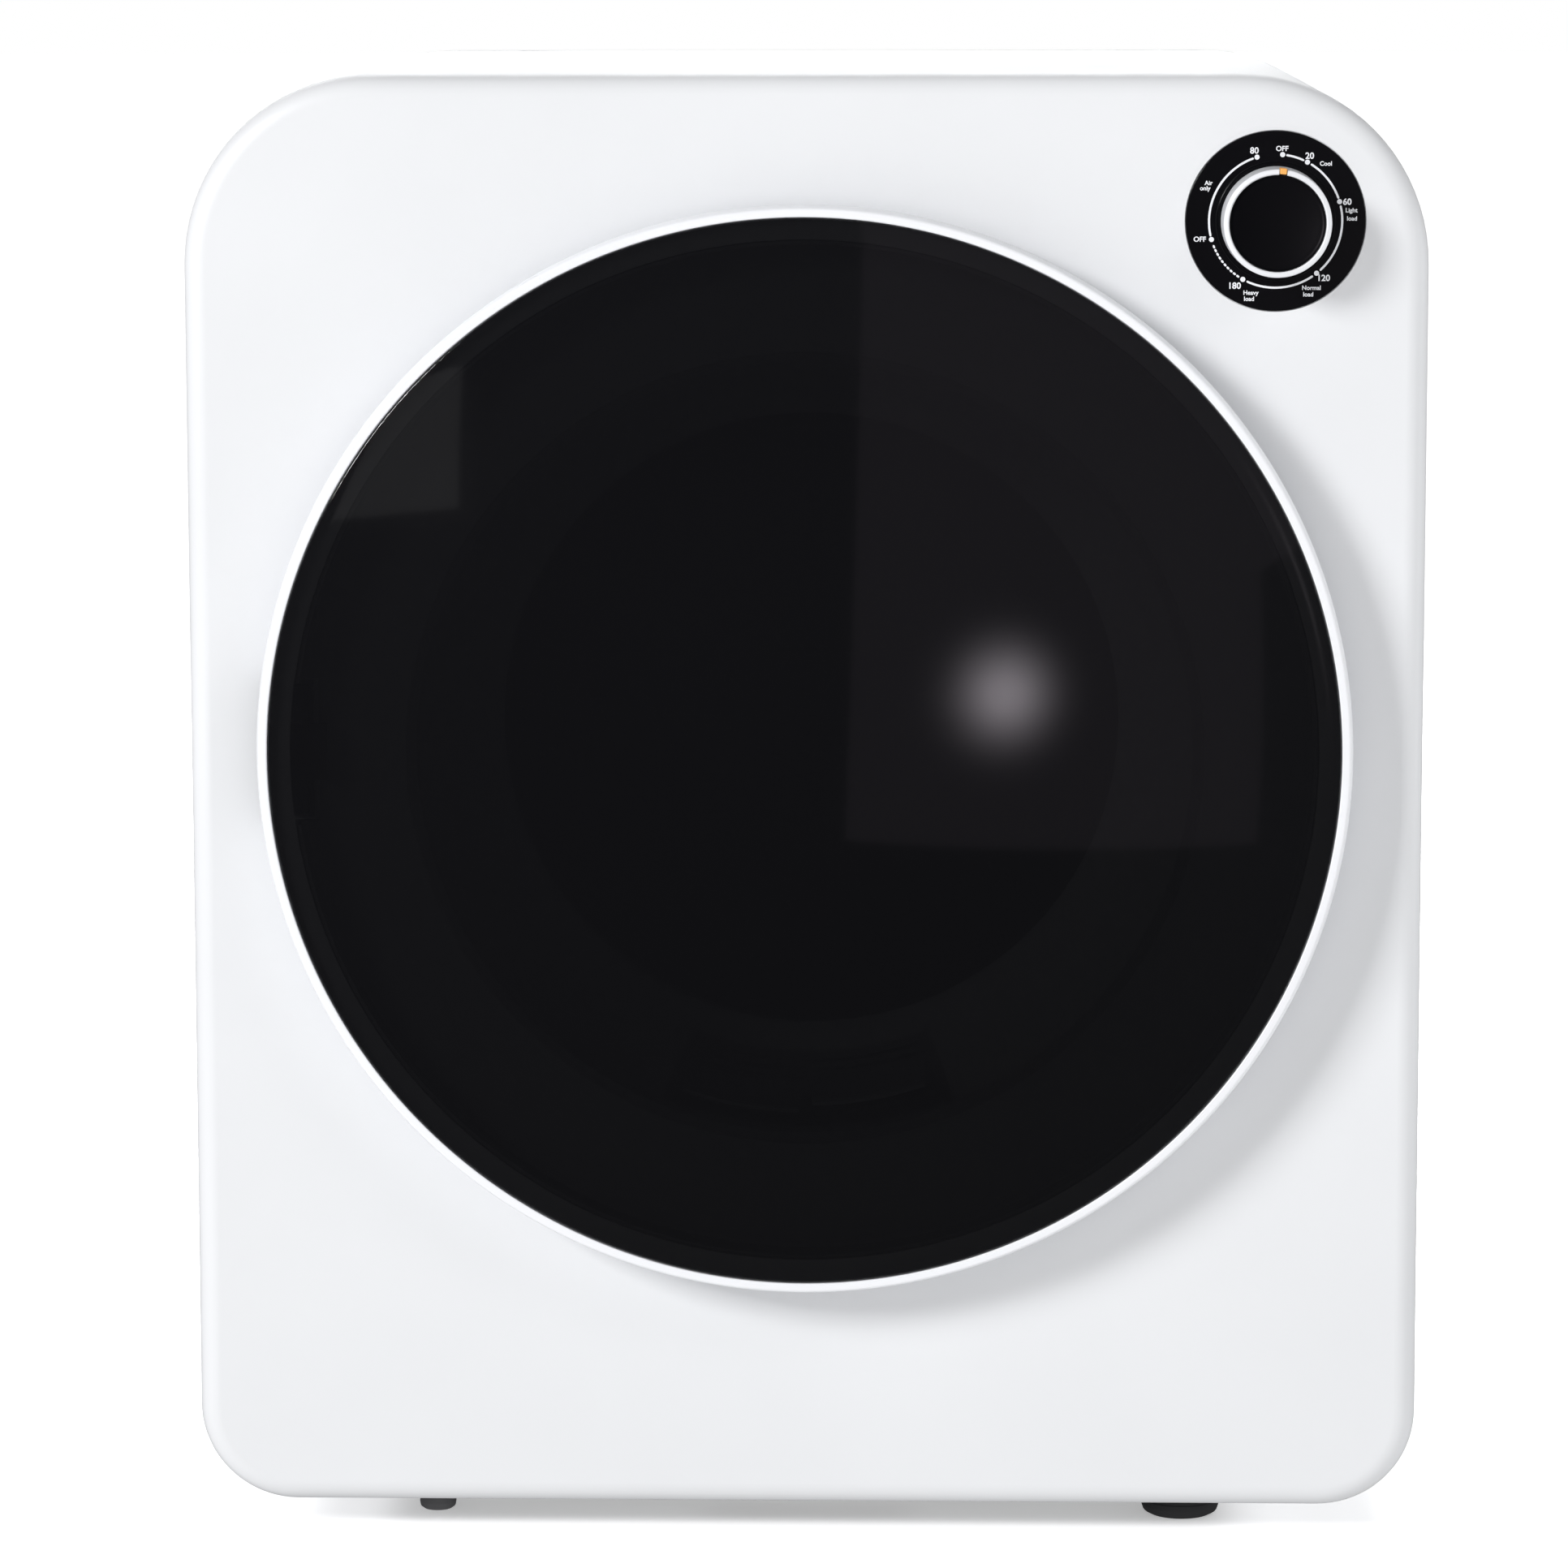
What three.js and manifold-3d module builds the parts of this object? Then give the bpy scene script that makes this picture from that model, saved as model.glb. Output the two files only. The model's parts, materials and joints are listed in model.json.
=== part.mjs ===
// Compact vented clothes dryer, every piece a separate solid.
// Millimetres, +Z up, the front faces -Y. The origin is on the floor, under the middle of the
// bounding box. "Depth" means distance behind the flat face of the front panel.
import * as THREE from "three";
import { mergeVertices } from "three/addons/utils/BufferGeometryUtils.js";
import Module from "manifold-3d";

const wasm = await Module();
wasm.setup();

// Overall
const WIDTH = 590;
const HEIGHT = 705;
const OVERALL_DEPTH = 584;
const FOOT_HEIGHT = 14;
const CABINET_DEPTH = 492;
const TOP_CORNER = 90;
const BOTTOM_CORNER = 47;
const GAP = 0.3;

// Door, mouth and drum share one horizontal axis
const AXIS_HEIGHT = 384.7;
const DOME_PROUD = 67;
const RING_RADIUS = 260;
const RING_PROUD = 27;
const LENS_RADIUS = 254.2;
const LENS_EDGE_PROUD = 26.6;
const LENS_THICK = 4;
const RING_GAP = 2;
const MOUTH_RADIUS = 193;
const THROAT_RADIUS = 152;
const THROAT_DEPTH = 110;
const DRUM_RADIUS = 265;
const DRUM_FRONT = 112;
const DRUM_REAR = 397;
const NECK_RADIUS = 200.4;
const BOWL_RIM = 184;
const BOWL_DEPTH = 48;

// Sheet thicknesses
const PANEL_WALL = 2.5;
const WRAP_WALL = 1;
const PAN_WALL = 1.2;
const DRUM_WALL = 0.8;
const DUCT_WALL = 1.5;

// Front panel and controls
const PANEL_DEPTH = 18;
const PANEL_ROUNDING = 11;
const DIAL_X = 222;
const DIAL_HEIGHT = 636.2;
const DIAL_RADIUS = 42.3;
const KNOB_BASE_RADIUS = 25.8;
const KNOB_FACE_RADIUS = 22.4;
const KNOB_PROUD = 24.9;
const POINTER_WIDTH = 3.2;
const POINTER_TURN = 5.5;
const LATCH_X = 236;
const SWITCH_RISE = 50;
const HINGE_X = -252;
const HINGE_PROUD = 15;

// Drive and air path
const MOTOR_X = 190;
const MOTOR_HEIGHT = 95;
const MOTOR_RADIUS = 52;
const DRIVE_PULLEY_RADIUS = 9.5;
const FAN_DRIVE_RADIUS = 20;
const FAN_PULLEY_RADIUS = 60;
const FAN_RADIUS = 110;
const HOUSING_RADIUS = 130;
const INLET_RADIUS = 98;
const SPIGOT_X = -120;
const SPIGOT_DROP = 134.7;
const SPIGOT_RADIUS = 50;
const BELT_FRONT = 268;
const BELT_WIDTH = 20;
const FAN_BELT_FRONT = 469;
const IDLER_X = 100;
const IDLER_HEIGHT = 82;
const IDLER_PIVOT_X = 150;
const IDLER_PIVOT_HEIGHT = 42;

// Feet
const FOOT_X = 183;
const FRONT_FOOT_DEPTH = 47;
const REAR_FOOT_DEPTH = 440;

const PANEL_Y = -OVERALL_DEPTH / 2 + DOME_PROUD;
const FULL_TURN = 2 * Math.PI;

// Flat faces round a circle: large, medium and small
const ROUND = 40;
const MEDIUM = 24;
const SMALL = 12;

// y of a plane that is d behind the front panel's face
const at = (d) => PANEL_Y + d;

// ---- Solids ----

function solid(geometry) {
  const bare = geometry.clone();
  bare.deleteAttribute("normal");
  bare.deleteAttribute("uv");
  const merged = mergeVertices(bare, 1e-4);
  return new wasm.Manifold(
    new wasm.Mesh({
      numProp: 3,
      vertProperties: merged.attributes.position.array,
      triVerts: new Uint32Array(merged.index.array),
    }),
  );
}

// Closed outline of [radius, distance] points, turned so that its faces point out
function latheGeometry(profile, segments) {
  const area = profile.reduce((sum, [r, d], i) => {
    const [nextR, nextD] = profile[(i + 1) % profile.length];
    return sum + r * nextD - nextR * d;
  }, 0);
  const ordered = area > 0 ? [...profile] : [...profile].reverse();
  const touchesAxis = ordered.some(([r]) => r === 0);
  if (!touchesAxis) ordered.push(ordered[0]);
  while (touchesAxis && (ordered[0][0] !== 0 || ordered.at(-1)[0] !== 0)) ordered.push(ordered.shift());
  const points = ordered.map(([r, d]) => new THREE.Vector2(r, d));
  return new THREE.LatheGeometry(points, segments);
}

// Turned about a line along Y, profile [radius, depth], around (x, z)
function turned(profile, segments = ROUND, x = 0, z = 0) {
  const placed = profile.map(([r, d]) => [r, at(d)]);
  return solid(latheGeometry(placed, segments).translate(x, 0, z));
}

// Turned about a line along Z, profile [radius, height], around (x, y)
function turnedUpright(profile, segments = SMALL, x = 0, y = 0) {
  return solid(latheGeometry(profile, segments).rotateX(Math.PI / 2).translate(x, y, 0));
}

function rod(radius, from, to, x = 0, z = 0, segments = SMALL) {
  return turned([[0, from], [radius, from], [radius, to], [0, to]], segments, x, z);
}

function tube(outer, inner, from, to, x = 0, z = 0, segments = ROUND) {
  return turned([[inner, from], [outer, from], [outer, to], [inner, to]], segments, x, z);
}

// Box between two depths, given its x and z limits
function block(x0, x1, from, to, z0, z1) {
  const box = new THREE.BoxGeometry(x1 - x0, to - from, z1 - z0);
  return solid(box.translate((x0 + x1) / 2, at((from + to) / 2), (z0 + z1) / 2));
}

// Shape drawn in x and z, extruded between two depths, with rounded front or rear edges
function slab(shape, from, to, round = {}) {
  const radius = round.front ?? round.rear ?? 0;
  const geometry = new THREE.ExtrudeGeometry(shape, {
    depth: to - from - radius,
    curveSegments: 3,
    bevelEnabled: radius > 0,
    bevelThickness: radius,
    bevelSize: radius,
    bevelOffset: -radius,
    bevelSegments: 2,
  });
  geometry.rotateX(Math.PI / 2);
  const body = solid(geometry.translate(0, round.rear ? at(to) - radius : at(to), 0));
  if (!radius) return body;
  const reach = 2 * HEIGHT;
  return body.intersect(block(-reach, reach, from, to, -reach, reach));
}

function polygon(points) {
  return new THREE.Shape(points.map(([x, z]) => new THREE.Vector2(x, z)));
}

const join = (first, ...others) => others.reduce((sum, other) => sum.add(other), first);
const cut = (first, ...others) => others.reduce((rest, other) => rest.subtract(other), first);

// ---- Materials and meshes ----

const LOOKS = {
  white_plastic: [0xeff0f2, 0.3, 0],
  white_steel: [0xf1f2f4, 0.35, 0.1],
  galvanised: [0xb4b8bb, 0.45, 0.8],
  stainless: [0xc9c9c6, 0.3, 0.9],
  smoked: [0x121214, 0.08, 0],
  window_glass: [0x4a4d52, 0.1, 0],
  black_plastic: [0x0f1014, 0.35, 0],
  grey_plastic: [0x8b8d91, 0.5, 0],
  rubber: [0x252527, 0.8, 0],
  felt: [0x9a958c, 0.95, 0],
  steel: [0x8e9194, 0.4, 0.9],
  motor: [0x4b4f54, 0.5, 0.6],
  orange: [0xf0a040, 0.4, 0],
  silver: [0xdedfe2, 0.25, 0.2],
};

function piece(name, look, body) {
  const made = body.getMesh();
  const geometry = new THREE.BufferGeometry();
  geometry.setAttribute("position", new THREE.BufferAttribute(made.vertProperties, 3));
  geometry.setIndex(new THREE.BufferAttribute(made.triVerts, 1));
  geometry.computeVertexNormals();
  const [color, roughness, metalness] = LOOKS[look];
  const mesh = new THREE.Mesh(geometry, new THREE.MeshStandardMaterial({ color, roughness, metalness }));
  mesh.name = name;
  return mesh;
}

// ---- Cabinet ----

function cabinetShape(inset) {
  const side = WIDTH / 2 - inset;
  const low = FOOT_HEIGHT + inset;
  const high = HEIGHT - inset;
  const top = TOP_CORNER - inset;
  const bottom = BOTTOM_CORNER - inset;
  const shape = new THREE.Shape();
  shape.moveTo(bottom - side, low);
  shape.absarc(side - bottom, low + bottom, bottom, -Math.PI / 2, 0);
  shape.absarc(side - top, high - top, top, 0, Math.PI / 2);
  shape.absarc(top - side, high - top, top, Math.PI / 2, Math.PI);
  shape.absarc(bottom - side, low + bottom, bottom, Math.PI, 1.5 * Math.PI);
  return shape;
}

const MOUTH_WALL = 3;
const MOUTH_FLANGE = 10;
const DIAL_SEAT = 1.2;

function frontPanel() {
  const wall = PANEL_WALL;
  const shell = cut(
    slab(cabinetShape(0), 0, PANEL_DEPTH, { front: PANEL_ROUNDING }),
    slab(cabinetShape(wall), wall, PANEL_DEPTH + 1, { front: PANEL_ROUNDING - wall }),
  );
  const flange = tube(MOUTH_RADIUS + MOUTH_WALL, MOUTH_RADIUS, 1, MOUTH_FLANGE, 0, AXIS_HEIGHT);
  return cut(
    join(shell, flange),
    rod(MOUTH_RADIUS, -1, 30, 0, AXIS_HEIGHT, ROUND),
    rod(DIAL_RADIUS + 0.4, -1, DIAL_SEAT, DIAL_X, DIAL_HEIGHT, MEDIUM),
    rod(6, 0, 5, DIAL_X, DIAL_HEIGHT),
    block(LATCH_X - 5, LATCH_X + 5, -1, 5, AXIS_HEIGHT - 13, AXIS_HEIGHT + 13),
    rod(3.6, -1, 5, LATCH_X, AXIS_HEIGHT + SWITCH_RISE),
  );
}

const SEAM_DEPTH = 226;
const PAN_HALF = 205;
const LIP_HALF = 240;

function cabinetWrap() {
  const from = PANEL_DEPTH + 0.4;
  const to = CABINET_DEPTH - 12.5;
  const skin = cut(slab(cabinetShape(0), from, to), slab(cabinetShape(WRAP_WALL), from - 1, to + 1));
  const seam = cut(
    slab(cabinetShape(-1), SEAM_DEPTH - 1.5, SEAM_DEPTH + 1.5),
    slab(cabinetShape(0.5), SEAM_DEPTH - 2, SEAM_DEPTH + 2),
  );
  return cut(skin, seam, block(-PAN_HALF, PAN_HALF, 0, CABINET_DEPTH, 0, FOOT_HEIGHT + 5));
}

function basePan() {
  const low = FOOT_HEIGHT;
  const inner = PAN_HALF - 0.3;
  const shelf = low + WRAP_WALL + GAP;
  const right = [
    [inner, low],
    [inner, shelf],
    [LIP_HALF, shelf],
    [LIP_HALF, shelf + PAN_WALL],
    [inner - PAN_WALL, shelf + PAN_WALL],
    [inner - PAN_WALL, low + PAN_WALL],
  ];
  const left = right.map(([x, z]) => [-x, z]).reverse();
  const section = slab(polygon([...right, ...left]), PANEL_DEPTH + 2, CABINET_DEPTH - 14);
  const holes = [];
  for (const depth of [FRONT_FOOT_DEPTH, REAR_FOOT_DEPTH])
    for (const x of [-FOOT_X, FOOT_X])
      holes.push(turnedUpright([[0, 0], [5.4, 0], [5.4, 30], [0, 30]], SMALL, x, at(depth)));
  return cut(section, ...holes, block(-50, 50, 30, 54, 0, 30));
}

function topBrace() {
  const high = HEIGHT - WRAP_WALL - GAP;
  return cut(
    block(-190, 190, 205, 250, high - 16, high),
    block(-200, 200, 206.2, 248.8, high - 17, high - 1.2),
  );
}

const LOUVRES = 5;
const GLAND_X = -228;
const GLAND_HEIGHT = 118;

function rearCover() {
  const from = CABINET_DEPTH - 12;
  const to = CABINET_DEPTH;
  const shell = cut(
    slab(cabinetShape(0), from, to, { rear: 6 }),
    slab(cabinetShape(1.2), from - 1, to - 1.2, { rear: 4.8 }),
  );
  const louvres = [];
  for (let i = 0; i < LOUVRES; i++)
    for (const x of [-110, 110]) {
      const low = 560 + 20 * i;
      louvres.push(block(x - 70, x + 70, from, to + 1, low, low + 4));
    }
  return cut(
    shell,
    rod(SPIGOT_RADIUS + 1, from, to + 1, SPIGOT_X, AXIS_HEIGHT - SPIGOT_DROP, MEDIUM),
    rod(9, from, to + 1, GLAND_X, GLAND_HEIGHT),
    ...louvres,
  );
}

function cordGland() {
  const profile = [
    [5, 480], [8.5, 480], [8.5, 492.3], [13, 492.3], [13, 496], [9.5, 497], [8, 506], [5, 506],
  ];
  return turned(profile, SMALL, GLAND_X, GLAND_HEIGHT);
}

// ---- Drum front, heater and air inlet ----

const COLLAR_INNER = MOUTH_RADIUS + 1.5;
const COLLAR_OUTER = COLLAR_INNER + 1.5;
const NECK_CLEAR = NECK_RADIUS + 3.5;
const NECK_FRONT = DRUM_FRONT - 16;

function frontBulkhead() {
  const corner = block(160, 400, 0, 60, 570, 800);
  const plate = cut(
    slab(cabinetShape(4.5), 24, 25),
    corner,
    corner.mirror([1, 0, 0]),
    rod(COLLAR_INNER, 20, 70, 0, AXIS_HEIGHT, ROUND),
  );
  const collar = tube(COLLAR_OUTER, COLLAR_INNER, 24, DRUM_FRONT, 0, AXIS_HEIGHT);
  return cut(join(plate, collar), block(-55, 55, 34, 84, AXIS_HEIGHT - 205, AXIS_HEIGHT - 180));
}

const bulkheadFelt = () =>
  tube(COLLAR_OUTER + 3.3, COLLAR_OUTER + 0.4, NECK_FRONT + 1, DRUM_FRONT - 2, 0, AXIS_HEIGHT);

// Face of the funnel that leads from the mouth into the drum, as [radius, depth]
const FUNNEL = [
  [MOUTH_RADIUS - 1.5, MOUTH_FLANGE + 0.4],
  [MOUTH_RADIUS - 5, 28],
  [MOUTH_RADIUS - 12, 54],
  [THROAT_RADIUS + 20, 79],
  [THROAT_RADIUS + 9, 97],
  [THROAT_RADIUS + 2, 106],
  [THROAT_RADIUS, THROAT_DEPTH],
];
const FUNNEL_WALL = 1.6;
const GRILLE_INNER = THROAT_RADIUS + 12;
const GRILLE_OUTER = MOUTH_RADIUS - 5;
const GRILLE_ROWS = 6;
const GRILLE_PITCH = 3.5;

// Fan-shaped piece below the axis between two radii, with sides that lean outwards going down
function grilleSector(inner, outer, from, to, trim, middle = 0) {
  const ring = tube(outer, inner, from, to);
  const halfTop = 47 - trim;
  const halfLow = 86 - trim;
  const right = polygon([[middle, -135], [middle, -200], [halfLow, -200], [halfTop, -135]]);
  const left = polygon([[-middle, -135], [-halfTop, -135], [-halfLow, -200], [-middle, -200]]);
  return ring.intersect(join(slab(right, from, to), slab(left, from, to)));
}

// Depth of the funnel's face at a radius
function funnelDepth(radius) {
  const i = FUNNEL.findIndex(([r]) => r <= radius);
  const [r0, d0] = FUNNEL[i - 1];
  const [r1, d1] = FUNNEL[i];
  return d0 + ((d1 - d0) * (radius - r0)) / (r1 - r0);
}

function mouthFunnel() {
  const rear = THROAT_DEPTH + 4;
  const outer = COLLAR_INNER - 0.5;
  const hidden = FUNNEL.map(([r, d]) => [r + FUNNEL_WALL, d + FUNNEL_WALL / 2]).reverse();
  const window = grilleSector(GRILLE_INNER - 0.4, GRILLE_OUTER + 0.4, 20, THROAT_DEPTH - 2, -0.4);
  const ring = turned([
    ...FUNNEL,
    [THROAT_RADIUS, rear],
    [outer, rear],
    [outer, rear - 1.6],
    [THROAT_RADIUS + 1.6, rear - 1.6],
    ...hidden,
  ]);
  return cut(ring, window).translate([0, 0, AXIS_HEIGHT]);
}

function heaterGrille() {
  const radii = [GRILLE_OUTER, 181, 172, GRILLE_INNER];
  const face = radii.map((r) => [r, funnelDepth(r) - 0.8]);
  const hidden = radii.map((r) => [r, funnelDepth(r) + 3.6]).reverse();
  const band = turned([...face, ...hidden]);
  const trimmed = band.intersect(grilleSector(GRILLE_INNER - 1, GRILLE_OUTER + 1, 10, 120, 0));
  const slots = [];
  for (let i = 0; i < GRILLE_ROWS; i++) {
    const radius = GRILLE_INNER + 3.2 + GRILLE_PITCH * i;
    slots.push(grilleSector(radius - 0.9, radius + 0.9, 10, 120, 7, 3));
  }
  return cut(trimmed, ...slots).translate([0, 0, AXIS_HEIGHT]);
}

const DUCT_HALF = 66;
const DUCT_REAR = 104;
const DUCT_LOW = 60;

function heaterDuct() {
  const wall = DUCT_WALL;
  const neckFront = NECK_FRONT - 2;
  const outer = cut(
    block(-DUCT_HALF, DUCT_HALF, 25.3, DUCT_REAR, DUCT_LOW, 210),
    rod(COLLAR_OUTER + 0.4, 20, 120, 0, AXIS_HEIGHT, ROUND),
    rod(NECK_CLEAR, neckFront, 120, 0, AXIS_HEIGHT, ROUND),
  );
  const air = cut(
    block(wall - DUCT_HALF, DUCT_HALF - wall, 20, DUCT_REAR - wall, DUCT_LOW - 10, 220),
    rod(NECK_CLEAR + wall, neckFront - wall, 120, 0, AXIS_HEIGHT, ROUND),
  );
  return cut(outer, air);
}

const HEATER_CHANNELS = 8;

function ptcHeater() {
  const channels = [];
  for (let i = 0; i < HEATER_CHANNELS; i++) {
    const low = -54 + 14 * i;
    channels.push(block(low, low + 10, 43, 87, 80, 130));
  }
  return cut(block(-60, 60, 40, 90, 90, 118), ...channels);
}

function thermostat() {
  const button = [[0, 66.3], [11, 66.3], [11, 67.6], [8, 67.6], [8, 74], [3, 74], [3, 77], [0, 77]];
  return solid(latheGeometry(button, SMALL).rotateZ(-Math.PI / 2).translate(0, at(66), 140));
}

// ---- Drum ----

// Outer side of the drum's sheet, front to rear
function drumOutline() {
  const points = [[NECK_RADIUS + DRUM_WALL, NECK_FRONT], [NECK_RADIUS + DRUM_WALL, DRUM_FRONT]];
  points.push([254, DRUM_FRONT], [262, DRUM_FRONT + 3], [DRUM_RADIUS, DRUM_FRONT + 10]);
  points.push([DRUM_RADIUS, DRUM_REAR]);
  return points;
}

function drumShell() {
  const outside = drumOutline();
  const inside = outside.map(([r, d], i) => {
    if (i === 0) return [r - DRUM_WALL, d];
    return [r - DRUM_WALL, i < 5 ? d + DRUM_WALL : d];
  });
  return turned([...outside, ...inside.reverse()]);
}

const FILTER_RADIUS = 96;
const SHAFT_RADIUS = 10;

function drumBack() {
  const rim = DRUM_RADIUS - DRUM_WALL - 0.7;
  const plate = turned(
    [
      [0, 394],
      [rim - 8, 394],
      [rim - 1, 386],
      [rim, 386],
      [rim, 388],
      [rim - 7, 396],
      [0, 396],
    ],
  );
  const holes = [];
  for (let i = 0; i < 8; i++) {
    const angle = (FULL_TURN * i) / 8;
    holes.push(rod(16, 380, 400, 64 * Math.cos(angle), 64 * Math.sin(angle), 12));
  }
  return cut(plate, ...holes);
}

function drumShaft() {
  const profile = [
    [0, 396.3], [34, 396.3], [34, 399], [16, 403], [SHAFT_RADIUS, 406], [SHAFT_RADIUS, 427], [0, 427],
  ];
  return turned(profile, MEDIUM);
}

function lifter() {
  const half = [[26, -261], [22, -254], [12, -232], [6, -227]];
  const section = polygon([...half, ...half.map(([x, z]) => [-x, z]).reverse()]);
  return slab(section, DRUM_FRONT + 14, 378);
}

function lintFilter() {
  const rim = FILTER_RADIUS;
  const profile = [[0, 386], [18, 386], [24, 389], [rim - 6, 390], [rim, 393], [rim, 393.7], [0, 393.7]];
  const disc = turned(profile, MEDIUM);
  const handle = block(-26, 26, 374, 388, -3, 3);
  return join(disc, handle);
}

// ---- Rear bearing, fan and exhaust ----

function bearingBracket() {
  const hub = tube(25, 17.4, 411, 425, 0, 0, MEDIUM);
  const rim = tube(97.5, 90, 417, 423, 0, 0, MEDIUM);
  const arms = [];
  for (let i = 0; i < 4; i++) {
    const arm = block(20, 93, 418, 422, -6, 6);
    arms.push(arm.rotate([0, 45 + 90 * i, 0]));
  }
  return join(hub, rim, ...arms);
}

const drumBearing = () => tube(17, SHAFT_RADIUS + 0.3, 412, 424, 0, 0, MEDIUM);
const rearSeal = () => tube(107, INLET_RADIUS + 2.3, 397.6, 409, 0, 0, MEDIUM);

// Round fan casing that grows into a round outlet chamber low on one side
function voluteSpace(radius, outlet, from, to) {
  const spread = Math.hypot(SPIGOT_X, SPIGOT_DROP);
  const along = [SPIGOT_X / spread, -SPIGOT_DROP / spread];
  const side = [-along[1], along[0]];
  const corner = (r, sign, x, z) => [x + sign * r * side[0], z + sign * r * side[1]];
  const throat = polygon([
    corner(radius * 0.99, 1, 0, 0),
    corner(radius * 0.99, -1, 0, 0),
    corner(outlet * 0.99, -1, SPIGOT_X, -SPIGOT_DROP),
    corner(outlet * 0.99, 1, SPIGOT_X, -SPIGOT_DROP),
  ]);
  return join(
    rod(radius, from, to, 0, 0, MEDIUM),
    slab(throat, from, to),
    rod(outlet, from, to, SPIGOT_X, -SPIGOT_DROP, MEDIUM),
  );
}

function fanHousing() {
  const outside = voluteSpace(HOUSING_RADIUS, 60, 430, 466);
  const casing = cut(outside, voluteSpace(HOUSING_RADIUS - 2, 58, 432, 464));
  const inlet = tube(INLET_RADIUS + 2, INLET_RADIUS, 400, 431, 0, 0, MEDIUM);
  return cut(
    join(casing, inlet),
    rod(INLET_RADIUS, 390, 440, 0, 0, MEDIUM),
    rod(14, 460, 470),
    rod(SPIGOT_RADIUS - 2, 460, 470, SPIGOT_X, -SPIGOT_DROP, MEDIUM),
  );
}

function exhaustSpigot() {
  const end = OVERALL_DEPTH / 2 - PANEL_Y;
  const outer = SPIGOT_RADIUS;
  const profile = [
    [outer - 2, 466.4], [outer + 8, 466.4], [outer + 8, 468.4], [outer, 468.4],
    [outer, end], [outer - 2, end],
  ];
  return turned(profile, MEDIUM, SPIGOT_X, -SPIGOT_DROP);
}

const FAN_BLADES = 9;

function fanImpeller() {
  const back = rod(FAN_RADIUS, 459, 461, 0, 0, MEDIUM);
  const front = tube(FAN_RADIUS, FAN_RADIUS - 14, 436, 438, 0, 0, MEDIUM);
  const hub = rod(11, 444, 477);
  const blades = [];
  for (let i = 0; i < FAN_BLADES; i++) {
    const blade = block(52, FAN_RADIUS - 1, 437, 460, -1, 1);
    blades.push(blade.rotate([0, (360 * i) / FAN_BLADES, 0]));
  }
  return cut(join(back, front, hub, ...blades), rod(5.5, 440, 480));
}

function fanPulley() {
  const rim = FAN_PULLEY_RADIUS;
  const profile = [
    [11.4, 467.6], [18, 467.6], [18, 471], [rim - 4, 471], [rim - 4, 467.6], [rim + 3, 467.6],
    [rim, 468.6], [rim, 476.4], [rim + 3, 477.4], [rim - 4, 477.4], [rim - 4, 474], [11.4, 474],
  ];
  return turned(profile, MEDIUM);
}

const fanSpindle = () =>
  turned([[0, 440], [5, 440], [5, 484], [16, 486], [16, 490.4], [0, 490.4]], SMALL);

// ---- Motor, belts and idler ----

function motorBody() {
  const r = MOTOR_RADIUS;
  const profile = [
    [6.8, 316], [18, 316], [20, 321], [r - 8, 323], [r, 330],
    [r, 436], [r - 8, 443], [20, 445], [18, 450], [6.8, 450],
  ];
  return turned(profile, MEDIUM, MOTOR_X, MOTOR_HEIGHT);
}

function motorMount() {
  const floor = FOOT_HEIGHT + PAN_WALL + GAP;
  const x0 = MOTOR_X - 50;
  const x1 = MOTOR_X + 9;
  const top = MOTOR_HEIGHT - 8;
  return cut(
    join(
      block(x0, x1, 340, 426, floor, floor + 3),
      block(x0, x1, 340, 344, floor, top),
      block(x0, x1, 422, 426, floor, top),
    ),
    rod(MOTOR_RADIUS + 0.5, 320, 440, MOTOR_X, MOTOR_HEIGHT, MEDIUM),
  );
}

function motorRotor() {
  const r = DRIVE_PULLEY_RADIUS;
  const big = FAN_DRIVE_RADIUS;
  const beltRear = BELT_FRONT + BELT_WIDTH;
  const profile = [
    [0, 262], [r + 3, 262], [r, 265.5], [r, beltRear], [6, beltRear],
    [6, 467.6], [big + 3, 467.6], [big, 468.6], [big, 476.4], [big + 3, 477.4], [0, 477.4],
  ];
  return turned(profile, SMALL, MOTOR_X, MOTOR_HEIGHT);
}

// Taut loop round two pulleys, as an outline at a given radius on each
function beltOutline(ax, az, aRadius, bx, bz, bRadius) {
  const span = Math.hypot(bx - ax, bz - az);
  const heading = Math.atan2(bz - az, bx - ax);
  const lean = Math.acos((aRadius - bRadius) / span);
  const points = [];
  const sweep = (cx, cz, radius, from, to, steps) => {
    for (let i = 0; i <= steps; i++) {
      const angle = from + ((to - from) * i) / steps;
      points.push([cx + radius * Math.cos(angle), cz + radius * Math.sin(angle)]);
    }
  };
  sweep(ax, az, aRadius, heading + lean, heading + FULL_TURN - lean, ROUND);
  sweep(bx, bz, bRadius, heading - lean, heading + lean, 8);
  return points;
}

function belt(wheelRadius, motorRadius, thickness, from, to) {
  const loop = (extra) =>
    beltOutline(0, AXIS_HEIGHT, wheelRadius + extra, MOTOR_X, MOTOR_HEIGHT, motorRadius + extra);
  return cut(slab(polygon(loop(thickness)), from, to), slab(polygon(loop(0)), from - 1, to + 1));
}

const drumBelt = () =>
  belt(DRUM_RADIUS + 1, DRIVE_PULLEY_RADIUS + 0.7, 2, BELT_FRONT, BELT_FRONT + BELT_WIDTH - 2);
const fanBelt = () =>
  belt(FAN_PULLEY_RADIUS + 0.8, FAN_DRIVE_RADIUS + 0.8, 3, FAN_BELT_FRONT, FAN_BELT_FRONT + 7);

function idlerBracket() {
  const floor = FOOT_HEIGHT + PAN_WALL + GAP;
  const x = IDLER_PIVOT_X;
  return join(
    block(x - 16, x + 16, 300, 312, floor, floor + 3),
    block(x - 12, x + 12, 309, 312, floor, IDLER_PIVOT_HEIGHT + 12),
    rod(5.5, 286, 310, x, IDLER_PIVOT_HEIGHT),
  );
}

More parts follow.
